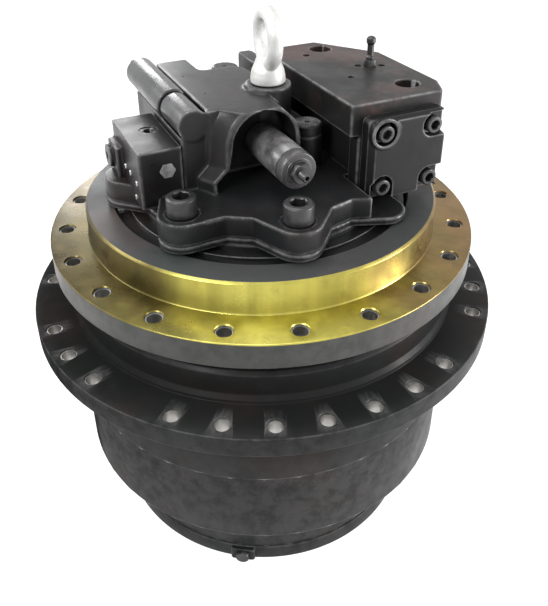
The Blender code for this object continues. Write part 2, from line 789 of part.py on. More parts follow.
def ring_gear(name, module, radius, base, top):
    """A ring gear with a plain outside. A tooth space lies over each planet."""
    radii = ring_gear_radii(module)
    spaces = tooth_outline(RING_TEETH, module, radii, -RING_TOOTH_PLAY, PLANET_START)
    return plate(name, (circle_outline(radius, HOUSING_STEPS), spaces), base, top)


def sun_wheel(name, module, bore_radius, base, top):
    """The toothed part of a sun gear. A tooth points at each planet."""
    radii = outer_gear_radii(SUN_TEETH, module)
    outlines = [tooth_outline(SUN_TEETH, module, radii, TOOTH_PLAY, PLANET_START)]
    if bore_radius:
        outlines.append(circle_outline(bore_radius, SMALL_STEPS))
    return plate(name, outlines, base, top)


def planet_mesh(name, module, pin_radius, width):
    """A planet gear about its own axis, a tooth pointing outwards along X."""
    radii = outer_gear_radii(PLANET_TEETH, module)
    teeth = tooth_outline(PLANET_TEETH, module, radii, TOOTH_PLAY, 0.0)
    bore = circle_outline(pin_radius + BUSH_GAP, SMALL_STEPS)
    return plate(name, (teeth, bore), 0.0, width)


def planets(stem, module, pin_radius, base, width):
    """Three planet gears, each with its origin on its pin."""
    first = None
    for index, (x, y) in enumerate(circle_places(planet_circle(module), PLANETS, PLANET_START)):
        name = f"{stem}_{index + 1}"
        if first is None:
            first = planet_mesh(name, module, pin_radius, width)
            gear = first
        else:
            gear = bpy.data.objects.new(name, first.data)
        gear.location = (x, y, base)
        gear.rotation_euler = Euler((0.0, 0.0, PLANET_START + index * FULL_TURN / PLANETS))
        PARTS.objects.link(gear)
    first.data.materials.clear()
    first.data.materials.append(gear_steel())


def carrier_outline(circle_radius, eye_radius, valley_radius):
    """Three rounded arms, one round each planet pin."""
    spread = CARRIER_ARM_ANGLE
    points = []
    for index, (x, y) in enumerate(circle_places(circle_radius, PLANETS, PLANET_START)):
        middle = PLANET_START + index * FULL_TURN / PLANETS
        points += arc((x, y), eye_radius, middle - spread, middle + spread, CARRIER_ARM_STEPS)
        gap_middle = middle + HALF_TURN / PLANETS
        points.append((valley_radius * math.cos(gap_middle), valley_radius * math.sin(gap_middle)))
    return points


def sprocket_hub():
    """The turning housing with the flange that the sprocket bolts to."""
    seat = HUB_BASE + SPROCKET_SEAT_HEIGHT
    flange_top = seat + SPROCKET_FLANGE_THICKNESS
    profile = (
        (HUB_NECK_RADIUS - HUB_RIM_CHAMFER, HUB_TOP),
        (HUB_NECK_RADIUS, HUB_TOP - HUB_RIM_CHAMFER),
        (HUB_NECK_RADIUS, flange_top + 2 * PILOT_HEIGHT),
        (PILOT_RADIUS, flange_top + PILOT_HEIGHT),
        (PILOT_RADIUS, flange_top),
        (SPROCKET_FLANGE_RADIUS, flange_top),
        (SPROCKET_FLANGE_RADIUS, seat),
        (HUB_SKIRT_RADIUS, seat),
        (HUB_SKIRT_RADIUS, HUB_BASE + SEAT_GAP),
        (HUB_CAVITY_RADIUS, HUB_BASE + SEAT_GAP),
        (HUB_CAVITY_RADIUS, HUB_BASE + HUB_CAVITY_DEPTH),
        (BEARING_OUTER_RADIUS, HUB_BASE + HUB_CAVITY_DEPTH),
        (BEARING_OUTER_RADIUS, LOWER_BEARING_TOP),
        (BEARING_SHOULDER_RADIUS, LOWER_BEARING_TOP),
        (BEARING_SHOULDER_RADIUS, UPPER_BEARING_BASE),
        (BEARING_OUTER_RADIUS, UPPER_BEARING_BASE),
        (BEARING_OUTER_RADIUS, UPPER_BEARING_TOP),
        (SEAL_RECESS_RADIUS, UPPER_BEARING_TOP),
        (SEAL_RECESS_RADIUS, HUB_TOP),
    )
    hub = keep(turned("sprocket_hub", profile), black_paint())
    pitch = FULL_TURN / SPROCKET_BOLT_PITCHES
    places = []
    step = 0
    for count in SPROCKET_BOLT_GROUPS:
        for _ in range(count):
            angle = SPROCKET_BOLT_START + step * pitch
            x = SPROCKET_BOLT_RADIUS * math.cos(angle)
            places.append((x, SPROCKET_BOLT_RADIUS * math.sin(angle)))
            step += 1
        step += 1
    low = seat - CUT_OVERRUN
    cut(hub, rods("sprocket_bolt_holes", BOLT_HOLE_RADIUS, places, low, flange_top + CUT_OVERRUN))


def bearing(stem, base, top_radius, base_radius):
    """A tapered bearing: the cone carries the rollers and the cup sits in the hub."""
    top = base + BEARING_WIDTH
    bore = BEARING_BORE_RADIUS
    cone = ((top_radius, top), (base_radius, base), (bore, base), (bore, top))
    keep(turned(stem + "_cone", cone), gear_steel())
    outer = BEARING_OUTER_RADIUS - SEAT_GAP
    play = 2 * SEAT_GAP
    cup = (
        (outer, top - SEAT_GAP),
        (outer, base + SEAT_GAP),
        (base_radius + play, base + SEAT_GAP),
        (top_radius + play, top - SEAT_GAP),
    )
    keep(turned(stem + "_cup", cup), gear_steel())


def bearings():
    narrow = ROLLER_TOP_RADIUS
    wide = narrow + BEARING_TAPER
    bearing("upper_bearing", UPPER_BEARING_BASE, wide, narrow)
    bearing("lower_bearing", LOWER_BEARING_BASE, narrow, wide)


def bearing_nut():
    top = LOWER_BEARING_BASE - SEAT_GAP
    base = top - NUT_THICKNESS
    outer = (BEARING_BORE_RADIUS + ROLLER_TOP_RADIUS) / 2
    inner = SPINDLE_SPLINE_RADIUS + SEAT_GAP
    keep(ring("bearing_nut", outer, inner, base, top, HOUSING_STEPS), dark_steel())


def floating_seals():
    """Two lapped rings, one held by the case and one by the hub, that run face to face."""
    middle = HUB_TOP
    tilt = SEAL_OUTER_RADIUS - SEAT_GAP
    waist = (SEAL_INNER_RADIUS + SEAL_OUTER_RADIUS) / 2
    for name, side in (("case_seal_ring", 1), ("hub_seal_ring", -1)):
        face = middle + side * SEAT_GAP / 2
        shelf = face + side * SEAL_RIB_HEIGHT
        back = face + side * SEAL_RING_HEIGHT
        outline = [
            (waist, back),
            (waist, shelf),
            (tilt, shelf),
            (tilt, face),
            (SEAL_INNER_RADIUS, face),
            (SEAL_INNER_RADIUS, back),
        ]
        if side < 0:
            outline.reverse()
        keep(turned(name, outline, INNER_STEPS), gear_steel())


def lobed_outline():
    """Outline of the rear cover's flange: a circle with a lobe round each bolt place."""
    points = []
    pitch = FULL_TURN / COVER_LOBES
    for lobe in range(COVER_LOBES):
        middle = COVER_LOBE_START + lobe * pitch
        centre = (COVER_BOLT_RADIUS * math.cos(middle), COVER_BOLT_RADIUS * math.sin(middle))
        spread = LOBE_BLEND_SHARE * RIGHT_ANGLE
        points += arc(centre, COVER_LOBE_RADIUS, middle - spread, middle + spread, LOBE_ARC_STEPS)
        start = middle + pitch * (1 - LOBE_BLEND_SHARE)
        end = middle + pitch * LOBE_BLEND_SHARE
        points += arc((0.0, 0.0), COVER_FLANGE_RADIUS, start, end, LOBE_VALLEY_STEPS)
    return points


def bolt_places():
    """Places of the rear cover bolts in the motor's own X and Y."""
    places = circle_places(COVER_BOLT_RADIUS, COVER_LOBES, COVER_LOBE_START)
    return [places[index] for index in COVER_BOLT_LOBES]


def turned_places(places):
    """Motor places turned into the drive's X and Y."""
    cosine = math.cos(MOTOR_TURN)
    sine = math.sin(MOTOR_TURN)
    return [(cosine * x - sine * y, sine * x + cosine * y) for x, y in places]


def bolt_holes(name, low, high):
    """Holes for the rear cover bolts, as a helper in the drive's own axes."""
    radius = BOLT_SHANK_RADIUS + BOLT_CLEARANCE
    return rods(name, radius, turned_places(bolt_places()), low, high)


def spindle_flange():
    """The still casting: mounting flange with its spigot, and the spindle for the bearings."""
    neck_base = HUB_TOP + CASE_NECK_GAP
    seal_top = HUB_TOP + SEAL_RING_HEIGHT + 2 * SEAT_GAP
    shoulder_base = UPPER_BEARING_TOP + SEAT_GAP
    profile = (
        (SPIGOT_RADIUS - SPIGOT_CHAMFER, SPIGOT_TOP),
        (SPIGOT_RADIUS, SPIGOT_TOP - SPIGOT_CHAMFER),
        (SPIGOT_RADIUS, MOUNT_FACE),
        (MOUNT_FLANGE_RADIUS, MOUNT_FACE),
        (MOUNT_FLANGE_RADIUS, MOUNT_FLANGE_BASE),
        (CASE_NECK_RADIUS, MOUNT_FLANGE_BASE),
        (CASE_NECK_RADIUS, neck_base),
        (SEAL_RECESS_RADIUS, neck_base),
        (SEAL_RECESS_RADIUS, seal_top),
        (SEAL_WALL_RADIUS, seal_top),
        (SEAL_WALL_RADIUS, shoulder_base),
        (BEARING_SEAT_RADIUS, shoulder_base),
        (BEARING_SEAT_RADIUS, LOWER_BEARING_BASE),
        (SPINDLE_SPLINE_RADIUS, LOWER_BEARING_BASE),
        (SPINDLE_SPLINE_RADIUS, SPINDLE_END),
        (SPINDLE_BORE_RADIUS, SPINDLE_END),
        (SPINDLE_BORE_RADIUS, CASE_FLOOR_BASE - SEAT_GAP),
        (CASE_SOCKET_RADIUS + SEAT_GAP, CASE_FLOOR_BASE - SEAT_GAP),
        (CASE_SOCKET_RADIUS + SEAT_GAP, CASE_STEP - SEAT_GAP),
        (CASE_BODY_RADIUS + SEAT_GAP, CASE_STEP - SEAT_GAP),
        (CASE_BODY_RADIUS + SEAT_GAP, SPIGOT_TOP),
    )
    spindle = keep(turned("spindle_flange", profile), gold_finish())
    places = circle_places(MOUNT_BOLT_RADIUS, MOUNT_BOLTS, HALF_TURN / MOUNT_BOLTS)
    low = MOUNT_FLANGE_BASE - CUT_OVERRUN
    cut(spindle, rods("mount_bolt_holes", BOLT_HOLE_RADIUS, places, low, MOUNT_FACE + CUT_OVERRUN))
    low = MOTOR_JOINT - BOLT_GRIP - JOIN_OVERLAP
    cut(spindle, bolt_holes("spindle_bolt_holes", low, SPIGOT_TOP + CUT_OVERRUN))


def motor_case():
    """The motor's case, seated in the spindle, with lobes for the rear cover bolts."""
    base_top = SPIGOT_TOP + CASE_BASE_HEIGHT
    profile = (
        (CASE_WALL_RADIUS, MOTOR_JOINT),
        (CASE_WALL_RADIUS, base_top),
        (CASE_BASE_RADIUS, base_top),
        (CASE_BASE_RADIUS, SPIGOT_TOP + SEAT_GAP),
        (CASE_BODY_RADIUS, SPIGOT_TOP + SEAT_GAP),
        (CASE_BODY_RADIUS, CASE_STEP),
        (CASE_SOCKET_RADIUS, CASE_STEP),
        (CASE_SOCKET_RADIUS, CASE_FLOOR_BASE),
        (SHAFT_SEAL_RADIUS, CASE_FLOOR_BASE),
        (SHAFT_SEAL_RADIUS, FRONT_BEARING_BASE),
        (FRONT_BEARING_RADIUS, FRONT_BEARING_BASE),
        (FRONT_BEARING_RADIUS, CASE_FLOOR_TOP),
        (CASE_POCKET_RADIUS, CASE_FLOOR_TOP),
        (CASE_POCKET_RADIUS, CASE_STEP + CASE_BORE_STEP),
        (CASE_BORE_RADIUS, CASE_STEP + CASE_BORE_STEP),
        (CASE_BORE_RADIUS, BRAKE_STEP),
        (BRAKE_BORE_RADIUS, BRAKE_STEP),
        (BRAKE_BORE_RADIUS, MOTOR_JOINT),
    )
    case = keep(turned("motor_case", profile, INNER_STEPS), black_paint())
    inner = circle_outline(BRAKE_BORE_RADIUS + JOIN_OVERLAP, INNER_STEPS)
    lobes = plate("case_lobes", (lobed_outline(), inner), base_top - JOIN_OVERLAP, MOTOR_JOINT)
    lobes.rotation_euler = Euler((0.0, 0.0, MOTOR_TURN))
    join(case, lobes)
    cut(case, bolt_holes("case_bolt_holes", SPIGOT_TOP - CUT_OVERRUN, MOTOR_JOINT + CUT_OVERRUN))


def ring_gears():
    """Both ring gears turn with the hub. The second has a lip that the first bolts to."""
    base = RING_1_BASE + SEAT_GAP
    top = RING_2_BASE - SEAT_GAP
    keep(ring_gear("ring_gear_1", MODULE_1, RING_1_RADIUS, base, top), black_paint())
    lip_top = RING_2_BASE + RING_2_LIP_THICKNESS
    second = ring_gear("ring_gear_2", MODULE_2, RING_2_RADIUS, RING_2_BASE, HUB_BASE)
    keep(second, black_paint())
    tooth_root = ring_gear_radii(MODULE_2)[1] + JOIN_OVERLAP
    lip = ring("ring_gear_2_lip", tooth_root, RING_2_LIP_RADIUS, RING_2_BASE, lip_top)
    join(second, lip)


def first_carrier():
    circle_radius = planet_circle(MODULE_1)
    eye_radius = PIN_1_RADIUS + CARRIER_1_EDGE
    outline = carrier_outline(circle_radius, eye_radius, circle_radius - eye_radius)
    bore = circle_outline(SUN_2_STUB_RADIUS + SEAT_GAP, SMALL_STEPS)
    carrier = plate("carrier_1", (outline, bore), CARRIER_1_BASE, CARRIER_1_TOP)
    keep(carrier, dark_steel())
    places = circle_places(circle_radius, PLANETS, PLANET_START)
    low = PLANET_1_BASE - PIN_1_OVERRUN
    high = CARRIER_1_BASE + JOIN_OVERLAP
    join(carrier, rods("carrier_1_pins", PIN_1_RADIUS, places, low, high, SMALL_STEPS))


def second_carrier():
    """The still carrier, splined on the end of the spindle."""
    circle_radius = planet_circle(MODULE_2)
    outer = circle_radius + PIN_2_RADIUS + CARRIER_2_EDGE
    inner = SPINDLE_SPLINE_RADIUS + SEAT_GAP
    carrier = ring("carrier_2", outer, inner, CARRIER_2_BASE, CARRIER_2_TOP, HOUSING_STEPS)
    keep(carrier, dark_steel())
    places = circle_places(circle_radius, PLANETS, PLANET_START)
    low = PLANET_2_BASE - PIN_2_OVERRUN
    high = CARRIER_2_BASE + JOIN_OVERLAP
    join(carrier, rods("carrier_2_pins", PIN_2_RADIUS, places, low, high, SMALL_STEPS))


def sun_gears():
    """The first sun is one piece with its long shaft; the second is splined to the carrier."""
    first = sun_wheel("sun_gear_1", MODULE_1, 0.0, PLANET_1_BASE, PLANET_1_TOP)
    keep(first, gear_steel())
    shaft_base = PLANET_1_TOP - JOIN_OVERLAP
    join(first, disc("sun_1_shaft", SUN_1_SHAFT_RADIUS, shaft_base, SUN_1_SHAFT_TOP))
    second = sun_wheel("sun_gear_2", MODULE_2, SUN_2_BORE_RADIUS, PLANET_2_BASE, PLANET_2_TOP)
    keep(second, gear_steel())
    stub_top = PLANET_2_BASE + JOIN_OVERLAP
    stub = ring("sun_2_stub", SUN_2_STUB_RADIUS, SUN_2_BORE_RADIUS, CARRIER_1_BASE, stub_top, SMALL_STEPS)
    join(second, stub)


def radial(obj, angle, height):
    """Lays a piece modelled about Z along a radius of the drive."""
    obj.rotation_euler = Euler((0.0, RIGHT_ANGLE, angle))
    obj.location = (0.0, 0.0, height)
    return obj


def end_cover():
    """The cover that the drive stands on. Its screws sit in pockets that open downwards."""
    top = RING_1_BASE
    profile = (
        (0.0, top),
        (COVER_RADIUS - COVER_CHAMFER, top),
        (COVER_RADIUS, top - COVER_CHAMFER),
        (COVER_RADIUS, COVER_CHAMFER),
        (COVER_RADIUS - COVER_CHAMFER, 0.0),
        (0.0, 0.0),
    )
    cover = keep(turned("end_cover", profile, closed=False), black_paint())
    face = COVER_RADIUS + OIL_PAD_REACH
    half = OIL_PAD_WIDTH / 2
    low = (COVER_RADIUS - half, -half, COVER_CHAMFER)
    pad = box("oil_plug_pad", low, (face, half, OIL_PAD_HEIGHT))
    pad.rotation_euler = Euler((0.0, 0.0, OIL_PLUG_ANGLE))
    join(cover, pad)
    places = circle_places(COVER_SCREW_CIRCLE, COVER_SCREWS, 0.0)
    pockets = rods("cover_pockets", COVER_SCREW_RADIUS, places, -CUT_OVERRUN, COVER_SCREW_DEPTH)
    cut(cover, pockets)
    start = face - OIL_PLUG_LENGTH
    bore_radius = OIL_PLUG_RADIUS + SEAT_GAP
    bore = disc("oil_plug_bore", bore_radius, start - SEAT_GAP, face + CUT_OVERRUN, HOLE_STEPS)
    cut(cover, radial(bore, OIL_PLUG_ANGLE, OIL_PLUG_HEIGHT))


def oil_plug():
    seat = COVER_RADIUS + OIL_PAD_REACH + SEAT_GAP
    start = COVER_RADIUS + OIL_PAD_REACH - OIL_PLUG_LENGTH
    axis = ((0.0, 0.0),)
    top = seat + OIL_PLUG_HEAD
    plug = rods("oil_plug", OIL_PLUG_HEX_RADIUS, axis, seat, top, HEXAGON_STEPS)
    keep(radial(plug, OIL_PLUG_ANGLE, OIL_PLUG_HEIGHT), dark_steel())
    shank = disc("oil_plug_shank", OIL_PLUG_RADIUS, start, seat + JOIN_OVERLAP, HOLE_STEPS)
    join(plug, radial(shank, OIL_PLUG_ANGLE, OIL_PLUG_HEIGHT))


def thrust_pad():
    """The pad on the end cover that the first sun gear runs against."""
    base = RING_1_BASE + SEAT_GAP
    keep(disc("thrust_pad", THRUST_PAD_RADIUS, base, PLANET_1_BASE - SEAT_GAP), bronze())


def drive_shaft():
    profile = (
        (0.0, SHAFT_TOP),
        (SHAFT_TAIL_RADIUS, SHAFT_TOP),
        (SHAFT_TAIL_RADIUS, MOTOR_JOINT),
        (SHAFT_SPLINE_RADIUS, MOTOR_JOINT),
        (SHAFT_SPLINE_RADIUS, CASE_FLOOR_TOP),
        (SHAFT_NECK_RADIUS, CASE_FLOOR_TOP),
        (SHAFT_NECK_RADIUS, CASE_FLOOR_BASE),
        (COUPLING_RADIUS, CASE_FLOOR_BASE),
        (COUPLING_RADIUS, COUPLING_BASE),
        (SUN_1_SHAFT_RADIUS + SEAT_GAP, COUPLING_BASE),
        (SUN_1_SHAFT_RADIUS + SEAT_GAP, SUN_1_SHAFT_TOP + SEAT_GAP),
        (0.0, SUN_1_SHAFT_TOP + SEAT_GAP),
    )
    keep(turned("drive_shaft", profile, SMALL_STEPS, closed=False), bright_steel())


def shaft_bearings():
    base = FRONT_BEARING_BASE + SEAT_GAP
    inner = SHAFT_NECK_RADIUS + RUNNING_GAP
    outer = FRONT_BEARING_RADIUS - SEAT_GAP
    keep(ring("shaft_front_bearing", outer, inner, base, CASE_FLOOR_TOP), gear_steel())
    base = MOTOR_JOINT + 2 * SEAT_GAP
    inner = SHAFT_TAIL_RADIUS + RUNNING_GAP
    outer = REAR_BEARING_RADIUS - RUNNING_GAP
    keep(ring("shaft_rear_bearing", outer, inner, base, SHAFT_TOP), gear_steel())


def swash_plate():
    """The cam plate that the piston shoes slide on, with a flat on each side."""
    half = math.acos(SWASH_FLAT / SWASH_RADIUS)
    points = arc((0.0, 0.0), SWASH_RADIUS, half, HALF_TURN - half, SWASH_ARC_STEPS)
    points += arc((0.0, 0.0), SWASH_RADIUS, HALF_TURN + half, FULL_TURN - half, SWASH_ARC_STEPS)
    bore = circle_outline(SWASH_BORE_RADIUS, SMALL_STEPS)
    swash = plate("swash_plate", (points, bore), SWASH_BASE, SWASH_TOP)
    swash.rotation_euler = Euler((0.0, 0.0, MOTOR_TURN))
    keep(swash, gear_steel())


def piston_group():
    """Nine pistons with their shoes on the swash plate, held down by the retainer."""
    shoe_base = SWASH_TOP + SEAT_GAP
    base = shoe_base + RETAINER_LIFT
    group = ring("piston_group", RETAINER_RADIUS, RETAINER_BORE_RADIUS, base, base + RETAINER_THICKNESS)
    keep(group, bright_steel())
    places = circle_places(PISTON_CIRCLE_RADIUS, PISTONS, 0.0)
    join(group, rods("pistons", PISTON_RADIUS, places, shoe_base, shoe_base + PISTON_LENGTH))


def cylinder_block():
    inner = SHAFT_SPLINE_RADIUS + SEAT_GAP
    block = ring("cylinder_block", BLOCK_RADIUS, inner, BLOCK_BASE, BLOCK_TOP)
    keep(block, gear_steel())
    places = circle_places(PISTON_CIRCLE_RADIUS, PISTONS, 0.0)
    low = BLOCK_BASE - CUT_OVERRUN
    high = BLOCK_BASE + BLOCK_BORE_DEPTH
    cut(block, rods("block_bores", PISTON_RADIUS + PISTON_PLAY, places, low, high))


def port_slot(middle):
    """Outline of a kidney port."""
    inner = PORT_SLOT_RADIUS - PORT_SLOT_WIDTH / 2
    outer = PORT_SLOT_RADIUS + PORT_SLOT_WIDTH / 2
    start = middle - PORT_SLOT_ANGLE
    end = middle + PORT_SLOT_ANGLE
    points = arc((0.0, 0.0), outer, start, end, PORT_SLOT_STEPS)
    return points + arc((0.0, 0.0), inner, end, start, PORT_SLOT_STEPS)


def valve_plate():
    top = MOTOR_JOINT - SEAT_GAP
    base = top - VALVE_PLATE_THICKNESS
    outlines = (
        circle_outline(VALVE_PLATE_RADIUS, INNER_STEPS),
        circle_outline(VALVE_PLATE_BORE_RADIUS, SMALL_STEPS),
        port_slot(0.0),
        port_slot(HALF_TURN),
    )
    keep(plate("valve_plate", outlines, base, top), bronze())


def parking_brake():
    outer = BRAKE_BORE_RADIUS - SEAT_GAP
    steel_top = STEEL_PLATE_BASE + STEEL_PLATE_THICKNESS
    steel = ring("brake_steel_plate", outer, STEEL_PLATE_BORE_RADIUS, STEEL_PLATE_BASE, steel_top)
    keep(steel, bright_steel())
    friction_top = FRICTION_PLATE_BASE + FRICTION_PLATE_THICKNESS
    inner = BLOCK_RADIUS + SEAT_GAP
    disc_ring = ring("brake_friction_disc", FRICTION_PLATE_RADIUS, inner, FRICTION_PLATE_BASE, friction_top)
    keep(disc_ring, friction_lining())
    piston = ring("brake_piston", outer, BRAKE_PISTON_BORE_RADIUS, BRAKE_PISTON_BASE, BRAKE_PISTON_TOP)
    keep(piston, bright_steel())
    base = BRAKE_PISTON_TOP + SEAT_GAP
    profile = (
        (BRAKE_SPRING_OUTER_RADIUS, base + BRAKE_SPRING_THICKNESS),
        (BRAKE_SPRING_OUTER_RADIUS, base),
        (BRAKE_SPRING_INNER_RADIUS, base + BRAKE_SPRING_DISH),
        (BRAKE_SPRING_INNER_RADIUS, base + BRAKE_SPRING_DISH + BRAKE_SPRING_THICKNESS),
    )
    keep(turned("brake_spring", profile, INNER_STEPS), dark_steel())


def motor_axes():
    """The empty that all pieces of the motor's rear end hang from."""
    axes = bpy.data.objects.new("motor_axes", None)
    axes.location = (0.0, 0.0, MOTOR_JOINT)
    axes.rotation_euler = Euler((0.0, 0.0, MOTOR_TURN))
    PARTS.objects.link(axes)
    return axes


def hood_outline(radius, step_height, foot, ceiling):
    """An arch seen from the front, as X and height. Its left leg steps out near the foot."""
    centre = (HOOD_CENTRE_X, HOOD_CENTRE_HEIGHT)
    open_angle = math.asin(min(1.0, (ceiling - HOOD_CENTRE_HEIGHT) / radius))
    left = centre[0] - radius
    step_top = foot + step_height + HOOD_STEP_DROP
    points = [(centre[0] + radius, foot)]
    points += arc(centre, radius, 0.0, open_angle, HOOD_ARC_STEPS)
    if open_angle < RIGHT_ANGLE:
        points += arc(centre, radius, HALF_TURN - open_angle, HALF_TURN, HOOD_ARC_STEPS)
    else:
        points += arc(centre, radius, open_angle, HALF_TURN, HOOD_ARC_STEPS)[1:]
    points += [(left, step_top), (left - HOOD_STEP, foot + step_height), (left - HOOD_STEP, foot)]
    return points


def upright(obj):
    """Stands a plate drawn as X and height upright, its thickness running towards the front."""
    obj.rotation_euler = Euler((RIGHT_ANGLE, 0.0, 0.0))
    return obj


def facing(obj, x, y, height, to_front):
    """Lays a piece modelled about Z so that its top faces the motor's front or back."""
    turn = RIGHT_ANGLE if to_front else -RIGHT_ANGLE
    obj.rotation_euler = Euler((turn, 0.0, 0.0))
    obj.location = (x, y, height)
    return obj


def rear_cover(axes):
    """The cast cover with the valve passages: flange, body, arched hood, saddle and bosses."""
    cover = plate("rear_cover", (lobed_outline(),), SEAT_GAP, FLANGE_TOP)
    cover.parent = axes
    keep(cover, black_paint())
    foot = FLANGE_TOP - JOIN_OVERLAP
    body = (
        (BODY_LEFT, BODY_FRONT),
        (BODY_RIGHT, BODY_FRONT),
        (BODY_RIGHT, BODY_BACK - BODY_CORNER),
        (BODY_RIGHT - BODY_CORNER, BODY_BACK),
        (BODY_TONGUE_RIGHT, BODY_BACK),
        (BODY_TONGUE_RIGHT, BODY_TONGUE_BACK),
        (BODY_LEFT, BODY_TONGUE_BACK),
    )
    join(cover, plate("cover_body", (body,), foot, CASTING_TOP))
    arch = hood_outline(HOOD_RADIUS, HOOD_STEP_HEIGHT, foot, CASTING_TOP)
    join(cover, upright(plate("cover_hood", (arch,), -HOOD_BACK, -HOOD_FRONT)))
    shelf_low = (HOOD_CENTRE_X, SHELF_FRONT, foot)
    join(cover, box("cover_shelf", shelf_low, (SHELF_RIGHT, BODY_BACK, SHELF_HEIGHT)))
    ledge_low = (SHELF_RIGHT - JOIN_OVERLAP, LEDGE_FRONT, foot)
    join(cover, box("cover_ledge", ledge_low, (LEDGE_RIGHT, BODY_FRONT, LEDGE_HEIGHT)))
    saddle_low = (SADDLE_LEFT, SADDLE_FRONT, foot)
    saddle_high = (BODY_LEFT + JOIN_OVERLAP, SADDLE_BACK, SADDLE_HEIGHT)
    join(cover, box("cover_saddle", saddle_low, saddle_high))
    rear_low = (REAR_BLOCK_LEFT, BODY_BACK - JOIN_OVERLAP, foot)
    join(cover, box("cover_rear", rear_low, (REAR_BLOCK_RIGHT, REAR_BLOCK_BACK, REAR_BLOCK_HEIGHT)))
    lug_low = (LUG_X - LUG_WIDTH / 2, BODY_BACK - JOIN_OVERLAP, foot)
    join(cover, box("cover_lug", lug_low, (LUG_X + LUG_WIDTH / 2, LUG_BACK, LUG_TOP)))
    eye = ((EYE_X, EYE_Y),)
    join(cover, rods("eye_boss", EYE_BOSS_RADIUS, eye, foot, EYE_BOSS_TOP, SMALL_STEPS))
    rear = ((REAR_BOSS_X, REAR_BOSS_Y),)
    join(cover, rods("rear_boss", REAR_BOSS_RADIUS, rear, foot, REAR_BOSS_TOP, SMALL_STEPS))
    cover_cuts(cover, eye)


def cover_cuts(cover, eye):
    """The recess under the hood, the trough for the round housing, and the holes."""
    opening = hood_outline(HOOD_OPENING_RADIUS, HOOD_STEP_HEIGHT, FLANGE_TOP, CASTING_TOP)
    recess = plate("hood_recess", (opening,), -HOOD_RECESS_BACK, CUT_OVERRUN - HOOD_FRONT)
    cut(cover, upright(recess))
    plug = ((PLUG_X, PLUG_Y),)
    boss = rods("plug_boss", PLUG_RADIUS, plug, FLANGE_TOP - JOIN_OVERLAP, SHELF_HEIGHT, SMALL_STEPS)
    join(cover, boss)
    room_low = (PLUG_X - PLUG_RADIUS - 2 * SEAT_GAP, HOOD_FRONT - CUT_OVERRUN, SHELF_HEIGHT)
    room_high = (SHELF_RIGHT + PLUG_RADIUS, HOOD_RECESS_BACK + CUT_OVERRUN / 2, CASTING_TOP + CUT_OVERRUN)
    cut(cover, box("plug_room", room_low, room_high))
    trough_radius = SPEED_RADIUS + SEAT_GAP
    trough = disc("cover_trough", trough_radius, SPEED_FRONT - CUT_OVERRUN, SPEED_BACK)
    cut(cover, along_y(trough, SPEED_X, SPEED_HEIGHT))
    nose_radius = RELIEF_NOSE_RADIUS + SEAT_GAP
    front_low = HOOD_RECESS_BACK - CUT_OVERRUN
    front_high = HOOD_RECESS_BACK + RELIEF_NOSE_LENGTH
    front = disc("relief_bore_1", nose_radius, front_low, front_high)
    cut(cover, along_y(front, RELIEF_X, RELIEF_HEIGHT))
    rear_low = REAR_BLOCK_BACK - RELIEF_NOSE_LENGTH
    rear = disc("relief_bore_2", nose_radius, rear_low, REAR_BLOCK_BACK + CUT_OVERRUN)
    cut(cover, along_y(rear, RELIEF_X, RELIEF_HEIGHT))
    bore_top = REAR_BEARING_WIDTH + 2 * SEAT_GAP
    axis = ((0.0, 0.0),)
    cut(cover, rods("bearing_bore", REAR_BEARING_RADIUS, axis, -CUT_OVERRUN, bore_top, INNER_STEPS))
    bolt_radius = BOLT_SHANK_RADIUS + BOLT_CLEARANCE
    bolt_top = FLANGE_TOP + CUT_OVERRUN
    cut(cover, rods("cover_bolt_holes", bolt_radius, bolt_places(), -CUT_OVERRUN, bolt_top))
    eye_low = EYE_BOSS_TOP - EYE_SHANK_LENGTH - SEAT_GAP
    eye_radius = EYE_SHANK_RADIUS + SEAT_GAP
    eye_high = EYE_BOSS_TOP + CUT_OVERRUN
    cut(cover, rods("eye_hole", eye_radius, eye, eye_low, eye_high, SMALL_STEPS))
    plug_low = SHELF_HEIGHT - PLUG_SHANK_LENGTH - SEAT_GAP
    plug_radius = PLUG_SHANK_RADIUS + SEAT_GAP
    plug_high = SHELF_HEIGHT + CUT_OVERRUN
    cut(cover, rods("plug_hole", plug_radius, plug, plug_low, plug_high, SMALL_STEPS))
    notch_low = (NOTCH_LEFT, -SPROCKET_FLANGE_RADIUS, -CUT_OVERRUN)
    cut(cover, box("cap_notch", notch_low, (SPROCKET_FLANGE_RADIUS, NOTCH_FRONT, CASTING_TOP)))


